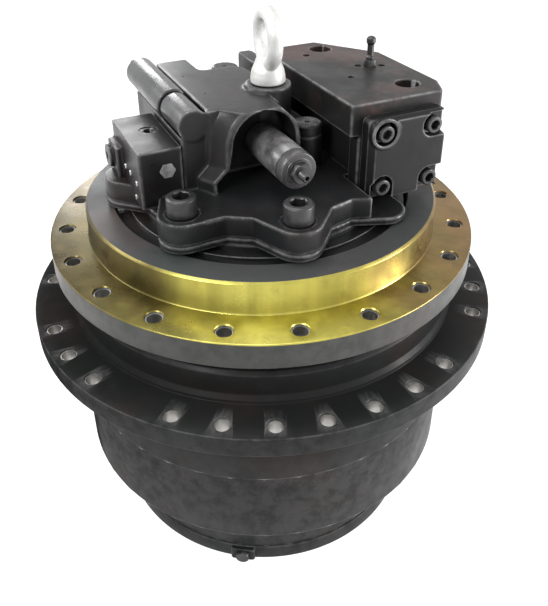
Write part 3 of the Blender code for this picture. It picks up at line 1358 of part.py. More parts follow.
def relief_valve(axes, index, seat, length, to_front):
    """A relief valve cartridge with its adjusting screw and locknut at the outer end."""
    profile = (
        (0.0, length - RELIEF_SOCKET_DEPTH),
        (RELIEF_SOCKET_RADIUS, length - RELIEF_SOCKET_DEPTH),
        (RELIEF_SOCKET_RADIUS, length),
        (RELIEF_RADIUS - RELIEF_EDGE, length),
        (RELIEF_RADIUS, length - RELIEF_EDGE),
        (RELIEF_RADIUS, 0.0),
        (RELIEF_NOSE_RADIUS, 0.0),
        (RELIEF_NOSE_RADIUS, SEAT_GAP - RELIEF_NOSE_LENGTH),
        (0.0, SEAT_GAP - RELIEF_NOSE_LENGTH),
    )
    valve = turned(f"relief_valve_{index}", profile, SMALL_STEPS, closed=False)
    valve.parent = axes
    keep(facing(valve, RELIEF_X, seat, RELIEF_HEIGHT, to_front), black_paint())
    nut_base = length + SEAT_GAP
    nut_top = nut_base + LOCKNUT_HEIGHT
    axis = ((0.0, 0.0),)
    screw = rods(f"relief_adjuster_{index}", LOCKNUT_RADIUS, axis, nut_base, nut_top, HEXAGON_STEPS)
    screw.parent = axes
    keep(facing(screw, RELIEF_X, seat, RELIEF_HEIGHT, to_front), dark_steel())
    stem_radius = RELIEF_SOCKET_RADIUS - SEAT_GAP
    stem_base = length - RELIEF_SOCKET_DEPTH + SEAT_GAP
    stem = disc(f"adjuster_stem_{index}", stem_radius, stem_base, nut_base + JOIN_OVERLAP, HOLE_STEPS)
    join(screw, facing(stem, RELIEF_X, seat, RELIEF_HEIGHT, to_front))
    tip_base = nut_base + JOIN_OVERLAP / 2
    tip = disc(f"adjuster_tip_{index}", ADJUSTER_RADIUS, tip_base, length + ADJUSTER_LENGTH, HOLE_STEPS)
    join(screw, facing(tip, RELIEF_X, seat, RELIEF_HEIGHT, to_front))


def relief_valves(axes):
    relief_valve(axes, 1, HOOD_RECESS_BACK - SEAT_GAP, RELIEF_FRONT_LENGTH, True)
    relief_valve(axes, 2, REAR_BLOCK_BACK + SEAT_GAP, RELIEF_REAR_LENGTH, False)


def waisted_rod(radius, waist_radius, base, length, shares):
    """Profile of a spool: full lands with waists between each pair of shares."""
    points = [(0.0, base + length), (radius, base + length)]
    for high, low in zip(shares[-1::-2], shares[-2::-2]):
        points += [(radius, base + length * high), (waist_radius, base + length * high)]
        points += [(waist_radius, base + length * low), (radius, base + length * low)]
    return points + [(radius, base), (0.0, base)]


def speed_selector(axes):
    """The round housing along the motor's left side, its end plug and its spool."""
    bore_radius = SPEED_SPOOL_RADIUS + SPEED_SPOOL_PLAY
    room = SPEED_SPOOL_LENGTH + SPEED_TRAVEL + SPEED_PLUG_LENGTH + 2 * SEAT_GAP
    bore_end = SPEED_BACK - room
    groove_back = SPEED_GROOVE + SPEED_GROOVE_WIDTH / 2
    groove_front = SPEED_GROOVE - SPEED_GROOVE_WIDTH / 2
    profile = (
        (0.0, bore_end),
        (bore_radius, bore_end),
        (bore_radius, SPEED_BACK),
        (SPEED_RADIUS, SPEED_BACK),
        (SPEED_RADIUS, groove_back),
        (SPEED_GROOVE_RADIUS, groove_back),
        (SPEED_GROOVE_RADIUS, groove_front),
        (SPEED_NOSE_RADIUS, groove_front),
        (SPEED_NOSE_RADIUS, SPEED_FRONT),
        (0.0, SPEED_FRONT),
    )
    housing = turned("speed_valve_housing", profile, SMALL_STEPS, closed=False)
    housing.parent = axes
    keep(along_y(housing, SPEED_X, SPEED_HEIGHT), black_paint())
    waist = SPEED_SPOOL_RADIUS - SPEED_WAIST_DEPTH
    rod = waisted_rod(SPEED_SPOOL_RADIUS, waist, 0.0, SPEED_SPOOL_LENGTH, SPEED_WAIST_SHARES)
    spool = turned("speed_spool", rod, SMALL_STEPS, closed=False)
    spool.parent = axes
    keep(facing(spool, SPEED_X, bore_end + SEAT_GAP, SPEED_HEIGHT, False), bright_steel())
    axis = ((0.0, 0.0),)
    head_base = SPEED_BACK + SEAT_GAP
    head_top = head_base + SPEED_PLUG_HEAD
    plug = rods("speed_valve_plug", SPEED_PLUG_HEX_RADIUS, axis, head_base, head_top, HEXAGON_STEPS)
    plug.parent = axes
    keep(along_y(plug, SPEED_X, SPEED_HEIGHT), dark_steel())
    shank_base = SPEED_BACK - SPEED_PLUG_LENGTH
    shank = disc("speed_plug_shank", SPEED_SPOOL_RADIUS, shank_base, head_base + JOIN_OVERLAP)
    join(plug, along_y(shank, SPEED_X, SPEED_HEIGHT))


def brake_valve_block(axes):
    low = (LEFT_BLOCK_LEFT, LEFT_BLOCK_FRONT, FLANGE_TOP + SEAT_GAP)
    block = box("brake_valve_block", low, (LEFT_BLOCK_RIGHT, LEFT_BLOCK_BACK, LEFT_BLOCK_TOP))
    block.parent = axes
    keep(block, black_paint())
    round_edges(block, LEFT_BLOCK_BEVEL)
    boss = disc("side_boss", SIDE_BOSS_RADIUS, 0.0, SIDE_BOSS_LENGTH + JOIN_OVERLAP)
    boss.rotation_euler = Euler((0.0, -RIGHT_ANGLE, 0.0))
    boss.location = (LEFT_BLOCK_LEFT + JOIN_OVERLAP, SIDE_BOSS_Y, SIDE_BOSS_HEIGHT)
    join(block, boss)
    place = ((LEFT_PORT_X, LEFT_PORT_Y),)
    top = LEFT_BLOCK_TOP + CUT_OVERRUN
    face = LEFT_BLOCK_TOP - LEFT_SPOTFACE_DEPTH
    cut(block, rods("left_spotface", LEFT_SPOTFACE_RADIUS, place, face, top, SMALL_STEPS))
    cut(block, rods("left_port", LEFT_PORT_RADIUS, place, LEFT_BLOCK_TOP - LEFT_PORT_DEPTH, top))


def cap_screw_places():
    """Places of the cap's screws, as X and height."""
    middle = (CAP_BASE + CAP_TOP) / 2
    places = []
    for across in (-1, 1):
        for up in (-1, 1):
            x = SPOOL_X + across * CAP_SCREW_SPAN_X / 2
            places.append((x, middle + up * CAP_SCREW_SPAN_Z / 2))
    return places


def counterbalance_block(axes):
    """The valve block on the right: a thick top plate on a core, with the spool bore through it."""
    top_outline = (
        (RIGHT_BLOCK_LEFT, RIGHT_BLOCK_FRONT),
        (RIGHT_BLOCK_RIGHT - RIGHT_CORNER_X, RIGHT_BLOCK_FRONT),
        (RIGHT_BLOCK_RIGHT, RIGHT_BLOCK_FRONT + RIGHT_CORNER_Y),
        (RIGHT_BLOCK_RIGHT, RIGHT_BLOCK_SIDE_BACK),
        (RIGHT_BLOCK_BACK_RIGHT, RIGHT_BLOCK_BACK),
        (RIGHT_BLOCK_LEFT, RIGHT_BLOCK_BACK),
    )
    plate_base = RIGHT_BLOCK_TOP - RIGHT_PLATE_THICKNESS
    block = plate("counterbalance_block", (top_outline,), plate_base, RIGHT_BLOCK_TOP)
    block.parent = axes
    keep(block, black_paint())
    round_edges(block, RIGHT_BLOCK_BEVEL)
    core_low = (RIGHT_CORE_LEFT, RIGHT_BLOCK_FRONT, FLANGE_TOP + SEAT_GAP)
    core_high = (RIGHT_CORE_RIGHT, RIGHT_CORE_BACK, plate_base + JOIN_OVERLAP)
    join(block, box("block_core", core_low, core_high))
    foot_low = (RIGHT_FOOT_LEFT, RIGHT_BLOCK_FRONT, RIGHT_FOOT_BASE)
    foot_high = (RIGHT_FOOT_RIGHT, RIGHT_FOOT_BACK, plate_base + JOIN_OVERLAP)
    join(block, box("block_foot", foot_low, foot_high))
    top = RIGHT_BLOCK_TOP + CUT_OVERRUN
    ports = rods("block_ports", PORT_RADIUS, PORT_PLACES, RIGHT_BLOCK_TOP - PORT_DEPTH, top, SMALL_STEPS)
    cut(block, ports)
    holes = rods("block_tapped", TAPPED_RADIUS, TAPPED_PLACES, RIGHT_BLOCK_TOP - TAPPED_DEPTH, top)
    cut(block, holes)
    nipple = ((NIPPLE_X, NIPPLE_Y),)
    shank_low = RIGHT_BLOCK_TOP - NIPPLE_SHANK - SEAT_GAP
    cut(block, rods("nipple_hole", NIPPLE_RADIUS + SEAT_GAP, nipple, shank_low, top))
    bore_low = RIGHT_BLOCK_FRONT - CUT_OVERRUN
    bore = disc("spool_bore", SPOOL_RADIUS + SPOOL_PLAY, bore_low, RIGHT_CORE_BACK + CUT_OVERRUN)
    cut(block, along_y(bore, SPOOL_X, SPOOL_HEIGHT))
    screw_end = RIGHT_BLOCK_FRONT + CAP_SCREW_GRIP - CAP_PAD_THICKNESS + SEAT_GAP
    radius = CAP_SCREW_RADIUS + CAP_SCREW_CLEARANCE
    low = -screw_end
    screws = rods("cap_screw_holes", radius, cap_screw_places(), low, CUT_OVERRUN - RIGHT_BLOCK_FRONT)
    cut(block, upright(screws))


def counterbalance_spool(axes):
    """The sliding spool, ending just inside the block's two faces."""
    start = RIGHT_BLOCK_FRONT + SEAT_GAP
    length = RIGHT_CORE_BACK - RIGHT_BLOCK_FRONT - 2 * SEAT_GAP
    waist = SPOOL_RADIUS - SPOOL_WAIST_DEPTH
    rod = waisted_rod(SPOOL_RADIUS, waist, 0.0, length, SPOOL_WAIST_SHARES)
    spool = turned("counterbalance_spool", rod, SMALL_STEPS, closed=False)
    spool.parent = axes
    keep(facing(spool, SPOOL_X, start, SPOOL_HEIGHT, False), bright_steel())


def spool_cap(axes):
    """The front cap, with a pocket at each corner that leaves a pad under the screw."""
    back = RIGHT_BLOCK_FRONT - SEAT_GAP
    front = back - CAP_THICKNESS
    half = CAP_WIDTH / 2
    corners = ((SPOOL_X - half, CAP_BASE), (SPOOL_X + half, CAP_BASE),
               (SPOOL_X + half, CAP_TOP), (SPOOL_X - half, CAP_TOP))
    cap = plate("spool_cap", (corners,), -back, -front)
    cap.parent = axes
    keep(upright(cap), black_paint())
    round_edges(cap, CAP_EDGE)
    places = cap_screw_places()
    pad = -back + CAP_PAD_THICKNESS
    pockets = rods("cap_pockets", CAP_POCKET_RADIUS, places, pad, CUT_OVERRUN - front, SMALL_STEPS)
    cut(cap, upright(pockets))
    radius = CAP_SCREW_RADIUS + CAP_SCREW_CLEARANCE
    holes = rods("cap_holes", radius, places, -back - CUT_OVERRUN, CUT_OVERRUN - front)
    cut(cap, upright(holes))
    chamber_end = back - CHAMBER_DEPTH
    chamber = disc("cap_chamber", CHAMBER_RADIUS, chamber_end, back + CUT_OVERRUN)
    cut(cap, along_y(chamber, SPOOL_X, SPOOL_HEIGHT))


def spool_plug(axes):
    """The screwed plug that closes the spool bore at the back, with a hexagon to turn it."""
    seat = RIGHT_CORE_BACK + SEAT_GAP
    top = SPOOL_PLUG_THICKNESS
    profile = (
        (0.0, top),
        (SPOOL_PLUG_RADIUS, top),
        (SPOOL_PLUG_RADIUS, 0.0),
        (CHAMBER_RADIUS, 0.0),
        (CHAMBER_RADIUS, CHAMBER_DEPTH),
        (0.0, CHAMBER_DEPTH),
    )
    plug = turned("spool_plug", profile, SMALL_STEPS, closed=False)
    plug.parent = axes
    keep(facing(plug, SPOOL_X, seat, SPOOL_HEIGHT, False), dark_steel())
    low = top - JOIN_OVERLAP / 2
    axis = ((0.0, 0.0),)
    high = top + SPOOL_PLUG_HEX_HEIGHT
    hexagon = rods("spool_plug_hex", SPOOL_PLUG_HEX_RADIUS, axis, low, high, HEXAGON_STEPS)
    join(plug, facing(hexagon, SPOOL_X, seat, SPOOL_HEIGHT, False))


def socket_screw(name, axes, radius, head_radius, head_height, grip):
    """A socket head screw about Z, its seat at height zero, and the helper that cuts its socket."""
    profile = (
        (0.0, head_height),
        (head_radius, head_height),
        (head_radius, 0.0),
        (radius, 0.0),
        (radius, -grip),
        (0.0, -grip),
    )
    screw = turned(name, profile, SCREW_STEPS, closed=False)
    screw.parent = axes
    keep(screw, dark_steel())
    socket_base = head_height * (1 - SOCKET_DEPTH_SHARE)
    socket_radius = head_radius * SOCKET_WIDTH_SHARE
    axis = ((0.0, 0.0),)
    socket_top = head_height + CUT_OVERRUN
    socket = rods(name + "_socket", socket_radius, axis, socket_base, socket_top, HEXAGON_STEPS)
    return screw, socket


def cap_screws(axes):
    seat = RIGHT_BLOCK_FRONT - SEAT_GAP - CAP_PAD_THICKNESS - SEAT_GAP
    for index, (x, height) in enumerate(cap_screw_places()):
        name = f"cap_screw_{index + 1}"
        screw, socket = socket_screw(name, axes, CAP_SCREW_RADIUS, CAP_SCREW_HEAD_RADIUS,
                                     CAP_SCREW_HEAD, CAP_SCREW_GRIP)
        facing(screw, x, seat, height, True)
        cut(screw, facing(socket, x, seat, height, True))


def cover_bolts(axes):
    seat = FLANGE_TOP + SEAT_GAP
    grip = FLANGE_TOP + BOLT_GRIP
    for index, (x, y) in enumerate(bolt_places()):
        name = f"cover_bolt_{index + 1}"
        bolt, socket = socket_screw(name, axes, BOLT_SHANK_RADIUS, BOLT_HEAD_RADIUS,
                                    BOLT_HEAD_HEIGHT, grip)
        bolt.location = (x, y, seat)
        socket.location = (x, y, seat)
        cut(bolt, socket)


def port_plug(axes):
    """The flat round plug beside the hood, with a dimple in its top."""
    top = PLUG_HEAD
    profile = (
        (0.0, top - PLUG_DIMPLE_DEPTH),
        (PLUG_DIMPLE_RADIUS, top - PLUG_DIMPLE_DEPTH),
        (PLUG_DIMPLE_RADIUS, top),
        (PLUG_RADIUS, top),
        (PLUG_RADIUS, 0.0),
        (PLUG_SHANK_RADIUS, 0.0),
        (PLUG_SHANK_RADIUS, -PLUG_SHANK_LENGTH),
        (0.0, -PLUG_SHANK_LENGTH),
    )
    plug = turned("port_plug", profile, SMALL_STEPS, closed=False)
    plug.parent = axes
    plug.location = (PLUG_X, PLUG_Y, SHELF_HEIGHT + SEAT_GAP)
    keep(plug, black_paint())


def bleed_nipple(axes):
    """The bleed nipple on the right block: hexagon, waist and round head."""
    seat = RIGHT_BLOCK_TOP + SEAT_GAP
    axis = ((0.0, 0.0),)
    nipple = rods("bleed_nipple", NIPPLE_HEX_RADIUS, axis, 0.0, NIPPLE_HEX_HEIGHT, HEXAGON_STEPS)
    nipple.parent = axes
    nipple.location = (NIPPLE_X, NIPPLE_Y, seat)
    keep(nipple, dark_steel())
    head_base = NIPPLE_HEIGHT - NIPPLE_HEAD_HEIGHT
    profile = (
        (0.0, NIPPLE_HEIGHT),
        (NIPPLE_RADIUS, NIPPLE_HEIGHT),
        (NIPPLE_RADIUS, head_base),
        (NIPPLE_WAIST_RADIUS, head_base),
        (NIPPLE_WAIST_RADIUS, NIPPLE_HEX_HEIGHT / 2),
        (NIPPLE_RADIUS, NIPPLE_HEX_HEIGHT / 2),
        (NIPPLE_RADIUS, -NIPPLE_SHANK),
        (0.0, -NIPPLE_SHANK),
    )
    stem = turned("nipple_stem", profile, HOLE_STEPS, closed=False)
    stem.location = (NIPPLE_X, NIPPLE_Y, seat)
    join(nipple, stem)


def eye_bolt(axes):
    """The lifting eye bolt: shank, collar, neck and ring."""
    seat = EYE_BOSS_TOP + SEAT_GAP
    neck_top = EYE_COLLAR_HEIGHT + EYE_NECK_HEIGHT
    profile = (
        (0.0, neck_top),
        (EYE_NECK_RADIUS, neck_top),
        (EYE_NECK_RADIUS, EYE_COLLAR_HEIGHT),
        (EYE_COLLAR_RADIUS, EYE_COLLAR_HEIGHT),
        (EYE_COLLAR_RADIUS, 0.0),
        (EYE_SHANK_RADIUS, 0.0),
        (EYE_SHANK_RADIUS, -EYE_SHANK_LENGTH),
        (0.0, -EYE_SHANK_LENGTH),
    )
    bolt = turned("eye_bolt", profile, SMALL_STEPS, closed=False)
    bolt.parent = axes
    bolt.location = (EYE_X, EYE_Y, seat)
    keep(bolt, white_zinc())
    section = [
        (EYE_RING_RADIUS + x, z)
        for x, z in circle_places(EYE_WIRE_RADIUS, EYE_WIRE_STEPS, 0.0)
    ]
    eye = turned("eye_ring", list(reversed(section)), EYE_RING_STEPS)
    eye.rotation_euler = Euler((RIGHT_ANGLE, 0.0, EYE_TURN))
    eye.location = (EYE_X, EYE_Y, seat + EYE_COLLAR_HEIGHT + EYE_RING_LIFT)
    join(bolt, eye)


def reduction_gear():
    """Everything between the end cover and the mounting flange."""
    end_cover()
    oil_plug()
    thrust_pad()
    ring_gears()
    planets("planet_1", MODULE_1, PIN_1_RADIUS, PLANET_1_BASE, PLANET_1_WIDTH)
    planets("planet_2", MODULE_2, PIN_2_RADIUS, PLANET_2_BASE, PLANET_2_WIDTH)
    first_carrier()
    second_carrier()
    sun_gears()
    sprocket_hub()
    bearings()
    bearing_nut()
    floating_seals()
    spindle_flange()


def motor_internals():
    """The rotating group and the parking brake."""
    motor_case()
    drive_shaft()
    shaft_bearings()
    swash_plate()
    piston_group()
    cylinder_block()
    valve_plate()
    parking_brake()


def motor_rear_end():
    """The rear cover with its valves, plugs and bolts."""
    axes = motor_axes()
    rear_cover(axes)
    relief_valves(axes)
    speed_selector(axes)
    brake_valve_block(axes)
    counterbalance_block(axes)
    counterbalance_spool(axes)
    spool_cap(axes)
    spool_plug(axes)
    cap_screws(axes)
    cover_bolts(axes)
    port_plug(axes)
    bleed_nipple(axes)
    eye_bolt(axes)


reduction_gear()
motor_internals()
motor_rear_end()
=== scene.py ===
"""Looks of the excavator final drive: castings, turned skins, fasteners, materials, light and camera."""

import math

import bmesh
import bpy
from mathutils import Matrix, Vector


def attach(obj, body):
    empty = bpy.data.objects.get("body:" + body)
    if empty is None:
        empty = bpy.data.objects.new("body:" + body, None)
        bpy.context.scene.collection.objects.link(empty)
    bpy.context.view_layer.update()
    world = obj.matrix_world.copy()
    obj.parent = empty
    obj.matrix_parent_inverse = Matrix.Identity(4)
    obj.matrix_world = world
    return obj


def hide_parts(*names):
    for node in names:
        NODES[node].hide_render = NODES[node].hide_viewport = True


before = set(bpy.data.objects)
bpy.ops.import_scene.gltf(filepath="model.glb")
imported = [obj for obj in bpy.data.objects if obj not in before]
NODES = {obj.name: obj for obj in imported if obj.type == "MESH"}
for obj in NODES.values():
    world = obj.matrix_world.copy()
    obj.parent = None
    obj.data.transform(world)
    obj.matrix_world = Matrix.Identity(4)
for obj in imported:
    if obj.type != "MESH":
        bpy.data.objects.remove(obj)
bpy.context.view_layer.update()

MOTOR_JOINT = 0.418
MOTOR_TURN = math.radians(24)
MOTOR = Matrix.Translation((0.0, 0.0, MOTOR_JOINT)) @ Matrix.Rotation(MOTOR_TURN, 4, "Z")
WORLD = Matrix.Identity(4)
QUARTER = math.pi / 2


# Materials
ACROSS_RATE = 1.9
# Light grey for convex edges: partly worn paint, partly a painted highlight along the edges.
WORN_AND_LIT_EDGE = (0.29, 0.285, 0.29)
BROWN_PRIMER = (0.062, 0.034, 0.030)


class Nodes:
    """A small helper that builds one node material."""

    def __init__(self, name):
        self.material = bpy.data.materials.new(name)
        self.material.use_nodes = True
        self.tree = self.material.node_tree
        self.shader = self.tree.nodes["Principled BSDF"]
        self.place = self.tree.nodes.new("ShaderNodeTexCoord").outputs["Object"]

    def link(self, a, b):
        self.tree.links.new(a, b)

    def put(self, value, socket):
        if isinstance(value, bpy.types.NodeSocket):
            self.link(value, socket)
        else:
            socket.default_value = value

    def noise(self, scale, detail=4.0, rough=0.5, stretch=None, distortion=0.0):
        node = self.tree.nodes.new("ShaderNodeTexNoise")
        node.inputs["Scale"].default_value = scale
        node.inputs["Detail"].default_value = detail
        node.inputs["Roughness"].default_value = rough
        node.inputs["Distortion"].default_value = distortion
        source = self.place
        if stretch:
            mapping = self.tree.nodes.new("ShaderNodeMapping")
            mapping.inputs["Scale"].default_value = stretch
            self.link(self.place, mapping.inputs["Vector"])
            source = mapping.outputs["Vector"]
        self.link(source, node.inputs["Vector"])
        return node.outputs["Fac"]

    def ramp(self, value, stops):
        node = self.tree.nodes.new("ShaderNodeValToRGB")
        ramp = node.color_ramp
        while len(ramp.elements) < len(stops):
            ramp.elements.new(0.5)
        for element, (position, colour) in zip(ramp.elements, stops):
            element.position = position
            if not isinstance(colour, tuple):
                colour = (colour, colour, colour)
            element.color = (*colour, 1.0)
        self.link(value, node.inputs["Fac"])
        return node.outputs["Color"]

    def mix(self, factor, a, b):
        node = self.tree.nodes.new("ShaderNodeMix")
        node.data_type = "RGBA"
        self.put(factor, node.inputs["Factor"])
        for value, socket in ((a, node.inputs["A"]), (b, node.inputs["B"])):
            if isinstance(value, tuple):
                value = (*value, 1.0)
            self.put(value, socket)
        return node.outputs["Result"]

    def math(self, operation, a, b=0.0):
        node = self.tree.nodes.new("ShaderNodeMath")
        node.operation = operation
        self.put(a, node.inputs[0])
        self.put(b, node.inputs[1])
        return node.outputs[0]

    def wear_and_highlight(self, low, high):
        """Rises from 0 to 1 along convex edges."""
        geometry = self.tree.nodes.new("ShaderNodeNewGeometry")
        return self.ramp(geometry.outputs["Pointiness"], ((low, 0.0), (high, 1.0)))

    def bump(self, heights):
        """Chains (height, strength, distance) bumps, the finest last."""
        normal = None
        for height, strength, distance in heights:
            node = self.tree.nodes.new("ShaderNodeBump")
            node.inputs["Strength"].default_value = strength
            node.inputs["Distance"].default_value = distance
            self.link(height, node.inputs["Height"])
            if normal is not None:
                self.link(normal, node.inputs["Normal"])
            normal = node.outputs["Normal"]
        self.link(normal, self.shader.inputs["Normal"])

    def across(self):
        """0 near the left edge of the mounting flange, 1 near its right."""
        axes = self.tree.nodes.new("ShaderNodeSeparateXYZ")
        self.link(self.place, axes.inputs[0])
        side = self.math("MULTIPLY_ADD", axes.outputs["X"], ACROSS_RATE)
        side.node.inputs[2].default_value = 0.5
        return side

    def finish(self, colour, roughness, metallic=0.0, specular=0.5):
        self.link(colour, self.shader.inputs["Base Color"])
        self.link(roughness, self.shader.inputs["Roughness"])
        self.put(metallic, self.shader.inputs["Metallic"])
        self.put(specular, self.shader.inputs["Specular IOR Level"])
        return self.material


def black_paint(name, tint=(0.0115, 0.0115, 0.0125), gloss=0.33, grain=1.0, wear_and_highlight=0.7,
                sheen=0.30, primer=0.0, painted_shade_sheen=None):
    """Semi-gloss black paint over cast iron, with brown primer showing where asked.

    A sheen ramp across the object's width, when given, is painted shade: the sheen drops on one side so
    that side renders darker.
    """
    n = Nodes(name)
    # Painted shade: the sheen ramp across the width darkens one side.
    if painted_shade_sheen:
        sheen = n.ramp(n.across(), painted_shade_sheen)
    blotch = n.noise(7.0, 5.0, 0.6)
    brown = tuple(c * k for c, k in zip(tint, (1.9, 1.35, 1.15)))
    green = tuple(c * k for c, k in zip(tint, (0.75, 1.0, 0.85)))
    colour = n.ramp(blotch, ((0.30, green), (0.52, tint), (0.72, brown)))
    if primer:
        patch = n.ramp(n.noise(9.0, 6.0, 0.7), ((0.47, 0.0), (0.57, 1.0)))
        colour = n.mix(n.math("MULTIPLY", patch, primer), colour, BROWN_PRIMER)
    dust = n.ramp(n.noise(38.0, 6.0, 0.7), ((0.55, 0.0), (0.78, 0.24)))
    colour = n.mix(dust, colour, tuple(c * 2.2 + 0.005 for c in tint))
    # Convex edges turn light grey: partly rubbed paint, partly a painted highlight.
    rubbed_and_lit = n.wear_and_highlight(0.506, 0.560)
    broken = n.ramp(n.noise(60.0, 4.0, 0.65), ((0.36, 0.25), (0.58, 1.0)))
    edge = n.math("MULTIPLY", n.math("MULTIPLY", rubbed_and_lit, broken), wear_and_highlight)
    colour = n.mix(edge, colour, WORN_AND_LIT_EDGE)
    rough = n.ramp(n.noise(24.0, 6.0, 0.65), ((0.28, gloss - 0.09), (0.75, gloss + 0.15)))
    n.bump((
        (n.noise(45.0, 3.0, 0.5), 0.22 * grain, 0.0012),
        (n.noise(420.0, 3.0, 0.6), 0.16 * grain, 0.00035),
    ))
    return n.finish(colour, rough, 0.0, sheen)


def gold_zinc(name):
    """Yellow passivated zinc. Its colour across the width is painted light and shade: brown at the left,
    yellow-green in front, copper at the right, crossed by upright streaks of painted reflection.
    """
    n = Nodes(name)
    # Painted light and shade: the colour ramp across the width stands in for how the light falls on the
    # flange.
    side = n.across()
    drift = n.math("MULTIPLY", n.noise(8.0, 3.0, 0.55, distortion=0.8), 0.34)
    side = n.math("SUBTRACT", n.math("ADD", side, drift), 0.17)
    colour = n.ramp(side, (
        (0.08, (0.050, 0.036, 0.015)),
        (0.26, (0.13, 0.105, 0.033)),
        (0.46, (0.64, 0.58, 0.13)),
        (0.62, (0.60, 0.53, 0.11)),
        (0.76, (0.27, 0.20, 0.068)),
        (0.93, (0.27, 0.17, 0.075)),
    ))
    # Painted reflection: long upright streaks darken the colour between bright bands.
    reflection_streak = n.ramp(n.noise(26.0, 3.0, 0.6, stretch=(1.0, 1.0, 0.05)), ((0.40, 0.0), (0.60, 0.60)))
    colour = n.mix(reflection_streak, colour, n.mix(0.55, colour, (0.06, 0.055, 0.02)))
    stain = n.ramp(n.noise(60.0, 6.0, 0.7), ((0.52, 0.0), (0.80, 0.45)))
    colour = n.mix(stain, colour, (0.20, 0.15, 0.06))
    rough = n.ramp(n.noise(30.0, 5.0, 0.6), ((0.3, 0.22), (0.7, 0.40)))
    n.bump((
        (n.noise(26.0, 3.0, 0.5), 0.035, 0.0010),
        (n.noise(900.0, 2.0, 0.5, stretch=(1.0, 1.0, 3.0)), 0.10, 0.00015),
    ))
    return n.finish(colour, rough, 0.92, 0.5)


def plain_metal(name, dark, light, gloss, metallic=1.0, grain=700.0, patch=35.0):
    """Machined or plated steel with stains and a fine grain."""
    n = Nodes(name)
    colour = n.ramp(n.noise(patch, 5.0, 0.65), ((0.32, dark), (0.68, light)))
    rough = n.ramp(n.noise(patch * 1.7, 5.0, 0.6), ((0.3, gloss - 0.07), (0.7, gloss + 0.13)))
    n.bump(((n.noise(grain, 3.0, 0.55), 0.14, 0.0002),))
    return n.finish(colour, rough, metallic, 0.5)


BLACK = black_paint("cast_black_paint")
# Painted shade: the hub's sheen falls to nothing towards its left side, which renders that side darker.
HUB_BLACK = black_paint("hub_black_paint", (0.015, 0.015, 0.0148), 0.40, 0.5, 0.4,
                        painted_shade_sheen=((0.12, 0.0), (0.24, 0.03), (0.40, 0.12), (0.55, 0.09), (0.90, 0.08)))
VALVE_BLACK = black_paint("valve_black_paint", (0.0078, 0.0076, 0.0080), 0.32, 0.9, 0.9, 0.22)
PRIMED_BLACK = black_paint("thin_black_paint", (0.014, 0.0135, 0.0135), 0.38, 0.9, 0.9, 0.20, 0.80)
CARTRIDGE_BLACK = black_paint("cartridge_black_paint", (0.026, 0.026, 0.029), 0.28, 0.6, 0.9, 0.70)
# Painted shade: a near-black for the recess inside the spigot, darker than the black paint around it.
RECESS_SHADE = black_paint("recess_painted_shade", (0.005, 0.005, 0.005), 0.60, 0.5, 0.15, 0.10)
RIM_GREY = black_paint("spigot_face_grey", (0.040, 0.040, 0.041), 0.46, 0.4, 0.3, 0.30)
EDGE_GREY = black_paint("flange_edge_grey", (0.030, 0.029, 0.025), 0.36, 0.5, 0.6, 0.38)
GOLD = gold_zinc("gold_passivated_zinc")
DARK_STEEL = plain_metal("black_oxide_steel", (0.035, 0.034, 0.036), (0.085, 0.083, 0.085), 0.36, 0.75)
STEEL = plain_metal("bright_machined_steel", (0.42, 0.41, 0.40), (0.62, 0.61, 0.60), 0.32)
HOLE_STEEL = plain_metal("drilled_hole_steel", (0.10, 0.095, 0.09), (0.28, 0.27, 0.26), 0.40, 0.8)
THREAD = plain_metal("cut_thread_steel", (0.30, 0.29, 0.27), (0.55, 0.54, 0.52), 0.38)
GEAR = plain_metal("hardened_gear_steel", (0.25, 0.25, 0.26), (0.42, 0.42, 0.43), 0.34)
BRONZE = plain_metal("bearing_bronze", (0.42, 0.24, 0.10), (0.58, 0.36, 0.16), 0.36)
LINING = plain_metal("friction_lining_fibre", (0.06, 0.045, 0.035), (0.11, 0.085, 0.065), 0.82,
                     0.0, 300.0, 90.0)
WHITE_ZINC = plain_metal("white_zinc_plate", (0.52, 0.52, 0.50), (0.76, 0.76, 0.75), 0.42,
                         0.20, 260.0, 45.0)

FINISHES = {
    "black_paint": BLACK,
    "gold_finish": GOLD,
    "dark_steel": DARK_STEEL,
    "bright_steel": STEEL,
    "gear_steel": GEAR,
    "bronze": BRONZE,
    "friction_lining": LINING,
    "white_zinc": WHITE_ZINC,
}


# Mesh tools
NO_LENGTH = 1e-6
SMOOTH_ANGLE = 32


def corner(points, index):
    return Vector(points[index][:2])


def rounded(points, radius=0.0, closed=True, bends=5):
    """Rounds the corners of a flat line. A point may carry its own radius as a third number."""
    out = []
    count = len(points)
    for i, point in enumerate(points):
        here = corner(points, i)
        own = point[2] if len(point) > 2 else radius
        if own <= 0.0 or (not closed and i in (0, count - 1)):
            out.append(tuple(here))
            continue
        to_before = corner(points, i - 1) - here
        to_after = corner(points, (i + 1) % count) - here
        angle = to_before.angle(to_after, math.pi)
        reach = own / math.tan(angle / 2) if angle < math.pi - 0.01 else 0.0
        reach = min(reach, 0.48 * to_before.length, 0.48 * to_after.length)
        if reach < NO_LENGTH:
            out.append(tuple(here))
            continue
        a = here + to_before.normalized() * reach
        b = here + to_after.normalized() * reach
        for k in range(bends + 1):
            t = k / bends
            out.append(tuple(a * (1 - t) ** 2 + here * (2 * t * (1 - t)) + b * t * t))
    return out


def arc(centre, radius, start, end, points):
    angles = [start + (end - start) * k / (points - 1) for k in range(points)]
    return [(centre[0] + radius * math.cos(a), centre[1] + radius * math.sin(a)) for a in angles]


def add_faces(work, rows, faces, matrix):
    verts = [work.verts.new(matrix @ Vector(co)) for co in rows]
    for face in faces:
        work.faces.new([verts[i] for i in face])


